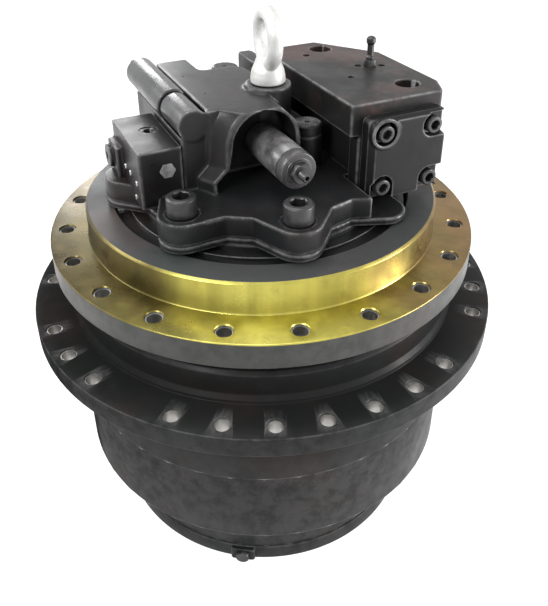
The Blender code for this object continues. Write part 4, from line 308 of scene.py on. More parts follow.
def add_turned(work, profile, steps, matrix=WORLD, closed=False):
    """A body turned about Z. An open profile starts and ends on the axis."""
    rows, rings = [], []
    for radius, height in profile:
        if radius < NO_LENGTH:
            rings.append([len(rows)] * steps)
            rows.append((0.0, 0.0, height))
        else:
            rings.append(list(range(len(rows), len(rows) + steps)))
            for k in range(steps):
                a = 2 * math.pi * k / steps
                rows.append((radius * math.cos(a), radius * math.sin(a), height))
    faces = []
    pairs = list(zip(rings, rings[1:])) + ([(rings[-1], rings[0])] if closed else [])
    for a, b in pairs:
        for k in range(steps):
            j = (k + 1) % steps
            quad = [a[k], a[j], b[j], b[k]]
            face = [v for i, v in enumerate(quad) if v not in quad[:i]]
            if len(face) > 2:
                faces.append(face)
    add_faces(work, rows, faces, matrix)


def add_loft(work, near, near_level, far, far_level, matrix=WORLD):
    """A closed form between two flat outlines with as many points each."""
    count = len(near)
    rows = [(x, y, near_level) for x, y in near] + [(x, y, far_level) for x, y in far]
    faces = [list(range(count)), list(range(count, 2 * count))]
    faces += [[k, (k + 1) % count, count + (k + 1) % count, count + k] for k in range(count)]
    add_faces(work, rows, faces, matrix)


def add_prism(work, outline, low, high, matrix=WORLD):
    add_loft(work, outline, low, outline, high, matrix)


def add_box(work, low, high, radius=0.0):
    outline = [(low[0], low[1]), (high[0], low[1]), (high[0], high[1]), (low[0], high[1])]
    if radius:
        outline = rounded(outline, radius)
    add_prism(work, outline, low[2], high[2])


def add_rod(work, radius, low, high, matrix=WORLD, steps=48, edge=0.0):
    edge = min(edge, radius * 0.9)
    profile = [(0.0, high), (radius, high, edge), (radius, low, edge), (0.0, low)]
    add_turned(work, rounded(profile, closed=False, bends=3), steps, matrix)


def at(x, y, z=0.0):
    return Matrix.Translation((x, y, z))


def to_front(x, y, height):
    """Lays a form about Z along Y, its own height running to the front."""
    return at(x, y, height) @ Matrix.Rotation(QUARTER, 4, "X")


def to_back(x, y, height):
    """Lays a form about Z along Y, its own height running back."""
    return at(x, y, height) @ Matrix.Rotation(-QUARTER, 4, "X")


def along_y(x, height):
    return to_back(x, 0.0, height)


def to_left(x, y, height):
    return at(x, y, height) @ Matrix.Rotation(-QUARTER, 4, "Y")


UPRIGHT = Matrix.Rotation(QUARTER, 4, "X")


def on_circle(radius, angle):
    return radius * math.cos(angle), radius * math.sin(angle)


def hexagon(radius):
    return [on_circle(radius, k * math.pi / 3) for k in range(6)]


def to_mesh(name, work, matrix=WORLD):
    bmesh.ops.recalc_face_normals(work, faces=work.faces)
    mesh = bpy.data.meshes.new(name)
    work.to_mesh(mesh)
    work.free()
    mesh.transform(matrix)
    return mesh


def piece(name, mesh, materials, body, stands_for=()):
    """Makes an object of the scene that rides on a body and may stand for CAD nodes."""
    obj = bpy.data.objects.new(name, mesh)
    bpy.context.scene.collection.objects.link(obj)
    mesh.materials.clear()
    for material in materials:
        mesh.materials.append(material)
    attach(obj, body)
    if stands_for:
        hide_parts(*stands_for)
    return obj


def shade(mesh, degrees=SMOOTH_ANGLE):
    mesh.shade_smooth()
    mesh.set_sharp_from_angle(angle=math.radians(degrees))


def smooth_piece(name, work, material, body, stands_for=(), matrix=MOTOR, degrees=SMOOTH_ANGLE):
    mesh = to_mesh(name, work, matrix)
    shade(mesh, degrees)
    piece(name, mesh, [material], body, stands_for)


def helper(name, work, material):
    mesh = to_mesh(name, work)
    mesh.materials.append(material)
    obj = bpy.data.objects.new(name, mesh)
    bpy.context.scene.collection.objects.link(obj)
    return obj


def carve(name, forms, material, soft=None, extra=None, voxel=None, smooth=0, drilled=None, inside=None):
    """Makes one casting of closed forms.

    Soft recesses are cut, what stands in them is added, all is rounded, and then crisp holes are drilled.
    """
    base = helper(name + "_forms", forms, material)
    spare = [base]
    if soft is not None:
        tool = helper(name + "_soft", soft, material)
        spare.append(tool)
        add_boolean(base, tool)
    if extra is not None:
        cut = evaluated(base)
        base.modifiers.clear()
        extra.from_mesh(cut)
        base.data = to_mesh(name + "_joined", extra)
        base.data.materials.append(material)
    if voxel:
        remesh = base.modifiers.new("skin", "REMESH")
        remesh.mode = "VOXEL"
        remesh.voxel_size = voxel
        remesh.adaptivity = 0.0
        relax = base.modifiers.new("relax", "SMOOTH")
        relax.factor = 0.5
        relax.iterations = smooth
    if drilled is not None:
        tool = helper(name + "_drilled", drilled, inside or material)
        spare.append(tool)
        add_boolean(base, tool)
    mesh = evaluated(base)
    mesh.name = name
    for obj in spare:
        bpy.data.objects.remove(obj, do_unlink=True)
    shade(mesh)
    return mesh


def evaluated(obj):
    bpy.context.view_layer.update()
    return bpy.data.meshes.new_from_object(obj.evaluated_get(bpy.context.evaluated_depsgraph_get()))


def add_boolean(base, tool):
    boolean = base.modifiers.new("cut", "BOOLEAN")
    boolean.operation = "DIFFERENCE"
    boolean.solver = "EXACT"
    boolean.use_self = True
    boolean.material_mode = "TRANSFER"
    boolean.object = tool
    tool.hide_render = True


def casting(name, forms, body, slot, stands_for, material, matrix=MOTOR, **how):
    inside = how.get("inside")
    mesh = carve(name, forms, material, **how)
    mesh.transform(matrix)
    finishes = [material] + ([inside] if inside else [])
    return piece(name, mesh, finishes, body, stands_for)


# Hub, ring gears and cover
TURNED_STEPS = 240
THREAD_RADIUS = 0.0088
THREAD_PITCH = 0.0021
SPROCKET_CIRCLE = 0.253
MOUNT_CIRCLE = 0.222
COVER_SCREW_CIRCLE = 0.1745
COVER_SCREWS = 12


def hub_skin():
    profile = [
        (0.222, 0.1825), (0.2265, 0.1825, 0.0008), (0.2265, 0.262, 0.004), (0.2265, 0.265, 0.0015),
        (0.270, 0.265, 0.0012), (0.270, 0.287, 0.0014), (0.2262, 0.287, 0.0010),
        (0.2255, 0.2905, 0.0012), (0.222, 0.2955, 0.003), (0.222, 0.3185, 0.0025),
        (0.2185, 0.322, 0.001), (0.1665, 0.322, 0.0006), (0.1665, 0.304),
        (0.150, 0.300), (0.150, 0.1825),
    ]
    work = bmesh.new()
    add_turned(work, rounded(profile, bends=4), TURNED_STEPS, closed=True)
    upper_edge = [(0.0, 0.2885), (0.0106, 0.2885), (THREAD_RADIUS, 0.2862), (0.0, 0.2862)]
    lower_edge = [(0.0, 0.2658), (THREAD_RADIUS, 0.2658), (0.0106, 0.2635), (0.0, 0.2635)]
    holes = bmesh.new()
    for x, y in sprocket_holes():
        add_rod(holes, THREAD_RADIUS, 0.255, 0.295, at(x, y), 32)
        add_turned(holes, upper_edge, 32, at(x, y))
        add_turned(holes, lower_edge, 32, at(x, y))
    casting("hub_body", work, "hub", "black_paint", ("sprocket_hub",), HUB_BLACK, WORLD,
            drilled=holes, inside=HOLE_STEEL)


def sprocket_holes():
    """Six groups of holes, with one hole left out between them."""
    places = []
    pitch = math.radians(11.25)
    angle = math.radians(-110)
    for count in (7, 3, 3, 7, 3, 3):
        for _ in range(count):
            places.append(on_circle(SPROCKET_CIRCLE, angle))
            angle += pitch
        angle += pitch
    return places


def mount_holes():
    return [on_circle(MOUNT_CIRCLE, math.radians(9 + 18 * k)) for k in range(20)]


def threads(name, places, low, high, body):
    """Fine thread turns that line a row of tapped holes."""
    turns = int((high - low) / THREAD_PITCH)
    depth = THREAD_RADIUS * 0.13
    root = THREAD_RADIUS - 0.0001
    core = THREAD_RADIUS - depth * 1.15
    profile = []
    for k in range(turns):
        base = low + k * THREAD_PITCH
        profile += [(root, base), (THREAD_RADIUS - depth, base + THREAD_PITCH / 2)]
    end = low + turns * THREAD_PITCH
    profile += [(root, end), (core, end), (core, low)]
    work = bmesh.new()
    for x, y in places:
        add_turned(work, profile, 24, at(x, y), closed=True)
    smooth_piece(name, work, THREAD, body, matrix=WORLD, degrees=80)


def ring_gear_skins():
    for name, radius, upper_bore, lower_bore, low, high, lip in (
        ("ring_gear_2_wall", 0.226, 0.196, 0.159, 0.0910, 0.182, 0.0016),
        ("ring_gear_1_wall", 0.188, 0.158, 0.158, 0.0203, 0.0907, 0.0010),
    ):
        profile = [(radius, low, lip), (radius, high, lip), (upper_bore, high), (lower_bore, low)]
        work = bmesh.new()
        add_turned(work, rounded(profile, bends=3), TURNED_STEPS, closed=True)
        smooth_piece(name, work, HUB_BLACK, "hub", matrix=WORLD, degrees=35)


def cover_skin():
    profile = [
        (0.0, 0.0200), (0.190, 0.0200, 0.0022), (0.190, 0.0, 0.0022), (0.120, 0.0, 0.001),
        (0.118, 0.0008, 0.001), (0.0, 0.0008),
    ]
    work = bmesh.new()
    add_turned(work, rounded(profile, closed=False, bends=4), TURNED_STEPS)
    drilled = bmesh.new()
    heads = bmesh.new()
    sockets = bmesh.new()
    for k in range(COVER_SCREWS):
        x, y = on_circle(COVER_SCREW_CIRCLE, math.radians(360 / COVER_SCREWS * k))
        add_rod(drilled, 0.0105, -0.01, 0.012, at(x, y), 32)
        add_rod(heads, 0.0092, 0.0020, 0.0125, at(x, y), 32, 0.0008)
        add_prism(sockets, hexagon(0.0052), -0.01, 0.0078, at(x, y))
    casting("cover_plate", work, "hub", "black_paint", ("end_cover",), HUB_BLACK, WORLD,
            drilled=drilled, inside=HUB_BLACK)
    casting("cover_screws", heads, "hub", "dark_steel", (), DARK_STEEL, WORLD, drilled=sockets)
    pad = bmesh.new()
    turn = Matrix.Rotation(math.radians(-98), 4, "Z")
    outline = [(0.180, -0.0145), (0.1945, -0.0145, 0.004), (0.1945, 0.0145, 0.004), (0.180, 0.0145)]
    add_prism(pad, rounded(outline), 0.002, 0.019, turn)
    casting("oil_pad", pad, "hub", "black_paint", (), HUB_BLACK, WORLD, voxel=0.0008, smooth=3)
    plug = bmesh.new()
    lay = turn @ at(0.0, 0.0, 0.010) @ Matrix.Rotation(QUARTER, 4, "Y")
    chamfered_hex(plug, 0.0085, 0.1948, 0.1988, lay)
    smooth_piece("oil_plug_head", plug, DARK_STEEL, "hub", ("oil_plug",), WORLD, 30)


def chamfered_hex(work, radius, low, high, matrix):
    """A hexagon head with its upper corners turned off."""
    rows, faces = [], []
    steps = 36
    shoulder = high - (high - low) * 0.22
    for level, limit, share in ((low, 1.0, 1.0), (shoulder, 0.965, 1.0), (high, 0.90, 0.97)):
        for k in range(steps):
            a = 2 * math.pi * k / steps
            flat = radius * math.cos(math.pi / 6) / math.cos((a % (math.pi / 3)) - math.pi / 6)
            rows.append((*on_circle(min(flat, radius * limit) * share, a), level))
    for s in range(2):
        for k in range(steps):
            j = (k + 1) % steps
            faces.append([s * steps + k, s * steps + j, (s + 1) * steps + j, (s + 1) * steps + k])
    faces.append(list(range(steps)))
    faces.append(list(range(2 * steps, 3 * steps)))
    add_faces(work, rows, faces, matrix)


# Mounting flange and case
RECESS_FLOOR = 0.3968
COVER_BOLT_CIRCLE = 0.148
LOBES = 8
FIRST_LOBE = math.radians(-100)
LOBE_PITCH = math.pi / 4
SCREW_LOBES = (0, 3, 4, 7)


def flange_skin():
    """Gold on the flange's seat and the spigot's wall, grey on the masked and turned faces, and a
    near-black painted shade on the recess inside the spigot.
    """
    profile = [
        (0.1255, RECESS_FLOOR), (0.1655, RECESS_FLOOR, 0.001), (0.1655, 0.4065),
        (0.1672, 0.4080, 0.0004), (0.1950, 0.4080, 0.0006), (0.1975, 0.4055, 0.0009),
        (0.1975, 0.3740), (0.1985, 0.3722, 0.0012), (0.2400, 0.3720, 0.0012),
        (0.2400, 0.3440, 0.0012), (0.2075, 0.3440, 0.002), (0.2050, 0.3410, 0.002),
        (0.2050, 0.3250, 0.0010), (0.1665, 0.3250), (0.1255, 0.3300),
    ]
    work = bmesh.new()
    add_turned(work, rounded(profile, bends=4), TURNED_STEPS, closed=True)
    hole_edge = [(0.0, 0.3735), (0.0108, 0.3735), (THREAD_RADIUS, 0.3710), (0.0, 0.3710)]
    holes = bmesh.new()
    for x, y in mount_holes():
        add_rod(holes, THREAD_RADIUS, 0.335, 0.380, at(x, y), 32)
        add_turned(holes, hole_edge, 32, at(x, y))
    obj = casting("mounting_flange", work, "motor", "gold_finish", ("spindle_flange",), GOLD, WORLD,
                  drilled=holes, inside=HOLE_STEEL)
    for material in (RIM_GREY, EDGE_GREY, RECESS_SHADE):
        obj.data.materials.append(material)
    gold, _, rim, edge, recess = range(len(obj.data.materials))
    for face in obj.data.polygons:
        radius = math.hypot(face.center.x, face.center.y)
        if face.material_index != gold:
            continue
        # Painted shade: the recess inside the spigot takes the near-black.
        if radius < 0.1668 and face.center.z > 0.35:
            face.material_index = recess
        elif face.center.z > 0.4074 and radius < 0.1962:
            face.material_index = rim
        elif face.center.z < 0.3708 and radius > 0.1980:
            face.material_index = edge


def lobed():
    """The outline that the motor case and the rear cover share."""
    valley, lobe, share = 0.138, 0.025, 0.62
    points = []
    for k in range(LOBES):
        middle = FIRST_LOBE + k * LOBE_PITCH
        centre = on_circle(COVER_BOLT_CIRCLE, middle)
        points += arc(centre, lobe, middle - share * QUARTER, middle + share * QUARTER, 17)
        points += arc((0.0, 0.0), valley, middle + LOBE_PITCH * (1 - share), middle + LOBE_PITCH * share, 4)
    return rounded(points, 0.006, bends=3)


def cover_bolt_places():
    return [on_circle(COVER_BOLT_CIRCLE, FIRST_LOBE + LOBE_PITCH * k) for k in SCREW_LOBES]


def case_skin():
    """The case's base stands in the spigot's recess, its lobed face above it."""
    low = RECESS_FLOOR + 0.0004
    profile = [
        (0.0, 0.4104), (0.1375, 0.4104), (0.1375, 0.4048), (0.1505, 0.4048, 0.0014), (0.1505, 0.4012),
        (0.1640, 0.4012, 0.0014), (0.1640, low), (0.0, low),
    ]
    work = bmesh.new()
    add_turned(work, rounded(profile, closed=False), 192)
    smooth_piece("case_base", work, BLACK, "motor", matrix=WORLD)
    work = bmesh.new()
    add_prism(work, lobed(), 0.4100 - MOTOR_JOINT, -0.0001)
    casting("case_lobes", work, "motor", "black_paint", ("motor_case",), BLACK, voxel=0.0014, smooth=2)


# Rear cover casting
SPEED_AXIS = (-0.090, 0.094)
PORT_PLUG_PLACE = (0.039, -0.038)
EYE_PLACE = (0.009, -0.004)
ARCH = (-0.0218, 0.0699)
ARCH_RADIUS = 0.0353
ARCH_STEPS = 30
SHOULDER = 0.1030


def arch_opening(foot):
    """The recess under the hood, as X and height. Its left leg steps out near the foot."""
    left, right = ARCH[0] - ARCH_RADIUS, ARCH[0] + ARCH_RADIUS
    points = [(right, foot)] + arc(ARCH, ARCH_RADIUS, 0.0, math.pi, ARCH_STEPS)
    return points + [(left - 0.004, 0.0480), (left - 0.0180, 0.0360), (left - 0.0185, foot)]


def arch_band(foot, centre, radius, right_wall, top):
    """The arch's outer form: round on the left, sloping on the right.

    It has as many points for any radius, so that two of them can be lofted.
    """
    start = math.pi - math.asin(min(1.0, (top - centre[1]) / radius))
    left = centre[0] - radius
    right = ARCH[0] + ARCH_RADIUS + right_wall
    shoulder = [(right - 0.003, SHOULDER - right + 0.003), (SHOULDER - top, top)]
    points = [(right, foot), (right, 0.0700)] + shoulder
    points += arc(centre, radius, start, math.pi, ARCH_STEPS)
    return points + [(left - 0.001, 0.0500), (left - 0.0145, 0.0370), (left - 0.0150, foot)]


def rear_cover_skin():
    foot = 0.022
    top = 0.107
    work = bmesh.new()
    add_prism(work, lobed(), 0.0004, 0.024)
    body = [
        (-0.076, -0.045), (0.012, -0.045), (0.012, 0.070, 0.01), (0.002, 0.080, 0.004),
        (-0.038, 0.080, 0.010), (-0.038, 0.128, 0.003), (-0.076, 0.128, 0.003),
    ]
    add_prism(work, rounded(body), foot, top)
    outer = arch_band(foot, (-0.0149, 0.0697), 0.0594, 0.007, top)
    lip = arch_band(foot, (-0.0200, 0.0699), 0.0440, 0.005, top - 0.0005)
    add_prism(work, outer, 0.018, 0.047, UPRIGHT)
    add_loft(work, outer, 0.0465, lip, 0.0640, UPRIGHT)
    add_box(work, (-0.012, -0.040, foot), (0.055, 0.080, 0.062), radius=0.004)
    add_box(work, (-0.104, -0.0432, foot), (-0.074, 0.118, 0.092))
    add_box(work, (-0.030, 0.078, foot), (0.020, 0.122, 0.078), radius=0.004)
    add_box(work, (0.027, 0.078, foot), (0.045, 0.125, 0.108), radius=0.005)
    add_box(work, (0.010, 0.058, foot), (0.055, 0.080, 0.100))
    add_box(work, (0.053, 0.047, foot), (0.078, 0.080, 0.0742))
    add_rod(work, 0.016, foot, 0.100, at(0.002, 0.104), 48, 0.002)
    soft = bmesh.new()
    add_prism(soft, arch_opening(0.024), 0.022, 0.080, UPRIGHT)
    slope = [(SHOULDER - 0.130, 0.130), (SHOULDER - 0.060, 0.060), (0.080, 0.060), (0.080, 0.130)]
    add_prism(soft, [(x + 0.0008, h) for x, h in slope], 0.010, 0.080, UPRIGHT)
    add_rod(soft, 0.0180, -0.060, 0.146, along_y(*SPEED_AXIS), 64)
    add_box(soft, (0.062, -0.200, -0.010), (0.200, -0.080, 0.107))
    extra = bmesh.new()
    add_rod(extra, 0.025, foot, 0.112, at(*EYE_PLACE), 64, 0.002)
    add_rod(extra, 0.0162, 0.023, 0.062, at(*PORT_PLUG_PLACE), 48)
    add_rod(extra, 0.0168, -0.0437, -0.0412, along_y(*SPEED_AXIS), 48)
    drilled = bmesh.new()
    add_rod(drilled, 0.0014, 0.098, 0.115, at(-0.059, 0.0055), 12)
    add_rod(drilled, 0.0014, 0.098, 0.115, at(-0.062, 0.069), 12)
    add_rod(drilled, 0.0017, 0.095, 0.115, at(0.002, 0.104), 12)
    for x, y in cover_bolt_places():
        add_rod(drilled, 0.0172, 0.0236, 0.050, at(x, y), 40)
    casting("rear_cover_casting", work, "motor", "black_paint", ("rear_cover",), BLACK,
            soft=soft, extra=extra, voxel=0.0015, smooth=6, drilled=drilled)


# Valve blocks
LEFT_PORT_PLACE = (-0.123, 0.009)
SPOOL_AXIS = (0.115, 0.051)
SPOOL_BORE = 0.0155
CHAMBER_RADIUS = 0.0170
CHAMBER_DEPTH = 0.0100
CAP_SCREW_SPREAD = (0.029, 0.030)
CAP_SCREWS = ((-1, -1), (-1, 1), (1, -1), (1, 1))


def cap_screw_place(side, rise):
    return SPOOL_AXIS[0] + side * CAP_SCREW_SPREAD[0], SPOOL_AXIS[1] + rise * CAP_SCREW_SPREAD[1]


def left_block_skin():
    work = bmesh.new()
    add_box(work, (-0.150, -0.046, 0.0245), (-0.1047, 0.056, 0.076), radius=0.0025)
    add_box(work, (-0.150, -0.046, 0.0140), (-0.128, 0.030, 0.0300), radius=0.0025)
    add_box(work, (-0.1575, 0.018, 0.0180), (-0.148, 0.052, 0.0580), radius=0.003)
    add_rod(work, 0.0125, 0.0, 0.018, to_left(-0.145, 0.036, 0.044), 40, 0.001)
    drilled = bmesh.new()
    add_rod(drilled, 0.0100, 0.0752, 0.090, at(*LEFT_PORT_PLACE), 40)
    add_rod(drilled, 0.0055, 0.055, 0.090, at(*LEFT_PORT_PLACE), 32)
    add_rod(drilled, 0.0045, -0.02, 0.006, to_left(-0.158, 0.036, 0.044), 24)
    casting("left_block_casting", work, "motor", "black_paint", ("brake_valve_block",), VALVE_BLACK,
            voxel=0.0011, smooth=4, drilled=drilled)
    plug = bmesh.new()
    chamfered_hex(plug, 0.0085, 0.0, 0.0012, to_front(-0.121, -0.0458, 0.053))
    smooth_piece("left_block_plug", plug, VALVE_BLACK, "motor")
    balls = bmesh.new()
    for y, h in ((0.010, 0.040), (-0.010, 0.041), (-0.033, 0.039), (-0.025, 0.020)):
        add_rod(balls, 0.0032, -0.001, 0.0016, to_left(-0.1495, y, h), 20, 0.0008)
    smooth_piece("left_block_balls", balls, STEEL, "motor")


def right_block_skin():
    work = bmesh.new()
    outline = [
        (0.0565, -0.099, 0.002), (0.166, -0.099, 0.004), (0.179, -0.072, 0.006), (0.179, 0.044, 0.006),
        (0.129, 0.117, 0.006), (0.0565, 0.117, 0.004),
    ]
    add_prism(work, rounded(outline), 0.075, 0.109)
    add_box(work, (0.070, -0.099, 0.0245), (0.160, 0.046, 0.078), radius=0.004)
    add_box(work, (0.066, -0.099, 0.0072), (0.164, -0.0807, 0.078), radius=0.002)
    drilled = bmesh.new()
    port_edge = [(0.0, 0.111), (0.0155, 0.111), (0.0130, 0.1075), (0.0, 0.1075)]
    for x, y in ((0.122, 0.087), (0.144, -0.066)):
        add_rod(drilled, 0.0130, 0.083, 0.120, at(x, y), 48)
        add_turned(drilled, port_edge, 48, at(x, y))
    for x, y in ((0.094, 0.070), (0.101, -0.022), (0.129, 0.009), (0.153, -0.002)):
        add_rod(drilled, 0.0045, 0.093, 0.120, at(x, y), 24)
    add_rod(drilled, SPOOL_BORE, -0.110, 0.060, along_y(*SPOOL_AXIS), 48)
    casting("right_block_casting", work, "motor", "black_paint", ("counterbalance_block",), PRIMED_BLACK,
            voxel=0.0013, smooth=4, drilled=drilled)


def cap_skin():
    """The spool's end cap: screw pockets open below and to the right, one has a raised rim."""
    low, high = 0.0994, 0.1183
    left, right, bottom, top = 0.069, 0.161, 0.006, 0.096
    corner_radius = 0.006
    pocket, pad, reach = 0.0128, low + 0.009, 0.14
    work = bmesh.new()
    outline = rounded([(left, bottom), (right, bottom), (right, top), (left, top)], corner_radius)
    front = rounded([
        (left + 0.006, bottom + 0.002), (right - 0.002, bottom + 0.002),
        (right - 0.002, top - 0.003), (left + 0.006, top - 0.003),
    ], corner_radius)
    add_prism(work, outline, low, high - 0.006, UPRIGHT)
    add_loft(work, outline, high - 0.0062, front, high, UPRIGHT)
    soft = bmesh.new()
    for side, rise in CAP_SCREWS:
        x, h = cap_screw_place(side, rise)
        add_rod(soft, pocket, pad, reach, UPRIGHT @ at(x, h), 48)
        if rise < 0:
            below = [(x - pocket, h), (x + pocket, h), (x + pocket, h - 0.03), (x - pocket, h - 0.03)]
            add_prism(soft, below, pad, reach, UPRIGHT)
        if side > 0:
            beside = [(x, h - pocket), (x + 0.03, h - pocket), (x + 0.03, h + pocket), (x, h + pocket)]
            add_prism(soft, beside, pad, reach, UPRIGHT)
    rim = bmesh.new()
    rim_width, rim_rise = 0.0035, 0.0012
    profile = [
        (pocket, high - 0.004), (pocket, high + rim_rise, 0.0006),
        (pocket + rim_width, high + rim_rise, 0.0008), (pocket + rim_width, high - 0.004),
    ]
    add_turned(rim, rounded(profile), 48, UPRIGHT @ at(*cap_screw_place(-1, 1)), closed=True)
    chamber = bmesh.new()
    add_rod(chamber, CHAMBER_RADIUS, -0.0990 - CHAMBER_DEPTH, -0.0900, along_y(*SPOOL_AXIS), 48)
    casting("cap_casting", work, "motor", "black_paint", ("spool_cap",), VALVE_BLACK,
            soft=soft, extra=rim, voxel=0.0010, smooth=4, drilled=chamber)


# Cartridges and fasteners
RELIEF_X = -0.008
RELIEF_HEIGHT = 0.057


def relief_skins():
    for number, length, lay in (
        (1, 0.090, to_front(RELIEF_X, -0.0223, RELIEF_HEIGHT)),
        (2, 0.033, to_back(RELIEF_X, 0.1223, RELIEF_HEIGHT)),
    ):
        profile = [
            (0.0, length), (0.0135, length, 0.0004), (0.0140, length - 0.0008, 0.0004),
            (0.0185, length - 0.0008, 0.0010), (0.0195, length - 0.0022, 0.0012),
            (0.0195, length - 0.012), (0.0191, length - 0.0125), (0.0191, length - 0.0140),
            (0.0195, length - 0.0145), (0.0195, 0.002), (0.0180, 0.0), (0.0, 0.0),
        ]
        work = bmesh.new()
        add_turned(work, rounded(profile, closed=False), 128, lay)
        smooth_piece(f"relief_barrel_{number}", work, CARTRIDGE_BLACK, "motor",
                     (f"relief_valve_{number}",), degrees=40)
        work = bmesh.new()
        chamfered_hex(work, 0.0114, length + 0.0003, length + 0.0071, lay)
        add_rod(work, 0.0125, length, length + 0.0012, lay, 40, 0.0004)
        tip = [(0.0, length + 0.0168), (0.0038, length + 0.0168), (0.0046, length + 0.0160)]
        for turn in range(9):
            crest = length + 0.0152 - turn * 0.0010
            tip += [(0.0050, crest), (0.0046, crest - 0.0005)]
        tip += [(0.0046, length), (0.0, length)]
        add_turned(work, tip, 32, lay)
        socket = bmesh.new()
        add_prism(socket, hexagon(0.0026), length + 0.012, length + 0.020, lay)
        casting(f"relief_locknut_{number}", work, "motor", "dark_steel", (f"relief_adjuster_{number}",),
                DARK_STEEL, drilled=socket)


def speed_skin():
    profile = [
        (0.0, 0.1458), (0.0160, 0.1458, 0.001), (0.0175, 0.1440, 0.0015), (0.0175, 0.0215, 0.001),
        (0.0160, 0.0205, 0.001), (0.0125, 0.0205), (0.0125, 0.0158), (0.0150, 0.0155, 0.001),
        (0.0160, 0.0140, 0.001), (0.0160, -0.0408, 0.0008), (0.0, -0.0408),
    ]
    work = bmesh.new()
    add_turned(work, rounded(profile, closed=False), 128, along_y(*SPEED_AXIS))
    smooth_piece("speed_housing_skin", work, CARTRIDGE_BLACK, "motor",
                 ("speed_valve_housing",), degrees=40)
    work = bmesh.new()
    chamfered_hex(work, 0.0153, 0.1463, 0.1551, along_y(*SPEED_AXIS))
    smooth_piece("speed_plug_head", work, DARK_STEEL, "motor", ("speed_valve_plug",))


def socket_head(name, radius, height, matrix, node):
    """A socket head cap screw: straight side, rounded top, hexagon socket with a turned lead-in."""
    socket = 0.6
    work = bmesh.new()
    rows = [(0.0, height), (radius * 0.86, height, 0.0006), (radius, height - radius * 0.10, 0.0008),
            (radius, 0.0006, 0.0004), (radius * 0.94, 0.0), (0.0, 0.0)]
    add_turned(work, rounded(rows, closed=False, bends=3), 72, matrix)
    tool = bmesh.new()
    add_prism(tool, hexagon(radius * socket), height * 0.42, height * 1.5, matrix)
    add_turned(tool, [(0.0, height * 1.05), (radius * (socket + 0.06), height * 1.05),
                      (radius * (socket - 0.06), height * 0.93), (0.0, height * 0.93)], 32, matrix)
    casting(name, work, "motor", "dark_steel", (node,), DARK_STEEL, drilled=tool)


def fasteners():
    """Each screw's socket stands at its own angle, as tightening leaves it."""
    for number, (x, y) in enumerate(cover_bolt_places(), 1):
        lay = at(x, y, 0.0243) @ Matrix.Rotation(0.4 + (number - 1), 4, "Z")
        socket_head(f"cover_screw_head_{number}", 0.0150, 0.0198, lay, f"cover_bolt_{number}")
    for number, (side, rise) in enumerate(CAP_SCREWS, 1):
        x, h = cap_screw_place(side, rise)
        lay = to_front(x, -0.1086, h) @ Matrix.Rotation(0.3 * number, 4, "Z")
        socket_head(f"cap_screw_head_{number}", 0.0090, 0.0118, lay, f"cap_screw_{number}")


def small_parts():
    work = bmesh.new()
    profile = [
        (0.0, 0.0113), (0.0145, 0.0113, 0.0008), (0.0160, 0.0100, 0.0010), (0.0160, 0.0008, 0.0006),
        (0.0152, 0.0), (0.0, 0.0),
    ]
    lay = at(*PORT_PLUG_PLACE, 0.0624)
    add_turned(work, rounded(profile, closed=False), 96, lay)
    tool = bmesh.new()
    add_rod(tool, 0.0030, 0.0063, 0.0200, lay, 24)
    casting("port_plug_head", work, "motor", "black_paint", ("port_plug",), VALVE_BLACK, drilled=tool)
    work = bmesh.new()
    lay = at(0.141, 0.004, 0.1093)
    chamfered_hex(work, 0.0080, 0.0, 0.0070, lay)
    profile = [
        (0.0, 0.0330), (0.0030, 0.0330, 0.0010), (0.0052, 0.0310, 0.0015), (0.0052, 0.0265, 0.0012),
        (0.0038, 0.0240, 0.0012), (0.0038, 0.0120, 0.0010), (0.0052, 0.0100, 0.0008),
        (0.0052, 0.0060), (0.0, 0.0060),
    ]
    add_turned(work, rounded(profile, closed=False), 40, lay)
    tool = bmesh.new()
    add_rod(tool, 0.0012, 0.020, 0.040, lay, 16)
    casting("bleed_nipple_skin", work, "motor", "dark_steel", ("bleed_nipple",), DARK_STEEL, drilled=tool)
    work = bmesh.new()
    lay = to_back(SPOOL_AXIS[0], 0.0463, SPOOL_AXIS[1])
    profile = [
        (0.0, 0.013), (0.0225, 0.013, 0.0015), (0.0225, 0.0, 0.0008), (CHAMBER_RADIUS, 0.0),
        (CHAMBER_RADIUS, CHAMBER_DEPTH), (0.0, CHAMBER_DEPTH),
    ]
    add_turned(work, rounded(profile, closed=False), 72, lay)
    chamfered_hex(work, 0.0150, 0.0125, 0.0200, lay)
    smooth_piece("spool_plug_skin", work, DARK_STEEL, "motor", ("spool_plug",))


def eye_bolt_skin():
    """A ring of round wire on a thick conical neck."""
    base = 0.1123
    centre = base + 0.011 + 0.036
    work = bmesh.new()
    wire, ring = 0.0080, 0.0260
    rows, faces = [], []
    around, tube = 96, 32
    turn = at(*EYE_PLACE, centre) @ Matrix.Rotation(math.radians(83), 4, "Z")
    for i in range(around):
        a = 2 * math.pi * i / around
        for j in range(tube):
            b = 2 * math.pi * j / tube
            r = ring + wire * math.cos(b)
            rows.append((r * math.cos(a), wire * math.sin(b), r * math.sin(a)))
    for i in range(around):
        for j in range(tube):
            k, l = (i + 1) % around, (j + 1) % tube
            faces.append([i * tube + j, k * tube + j, k * tube + l, i * tube + l])
    add_faces(work, rows, faces, turn)
    profile = [
        (0.0, 0.0300), (0.0110, 0.0300), (0.0140, 0.0215, 0.006), (0.0172, 0.0140, 0.004),
        (0.0186, 0.0070, 0.002), (0.0188, 0.0012, 0.001), (0.0180, 0.0002), (0.0, 0.0002),
    ]
    add_turned(work, rounded(profile, closed=False), 80, at(*EYE_PLACE, base))
    casting("eye_bolt_skin", work, "motor", "white_zinc", ("eye_bolt",), WHITE_ZINC,
            voxel=0.0009, smooth=5)


# Build
for node in NODES.values():
    mesh = node.data
    for index, material in enumerate(list(mesh.materials)):
        key = (material.name if material else "").split(".")[0]
        mesh.materials[index] = FINISHES.get(key, BLACK)

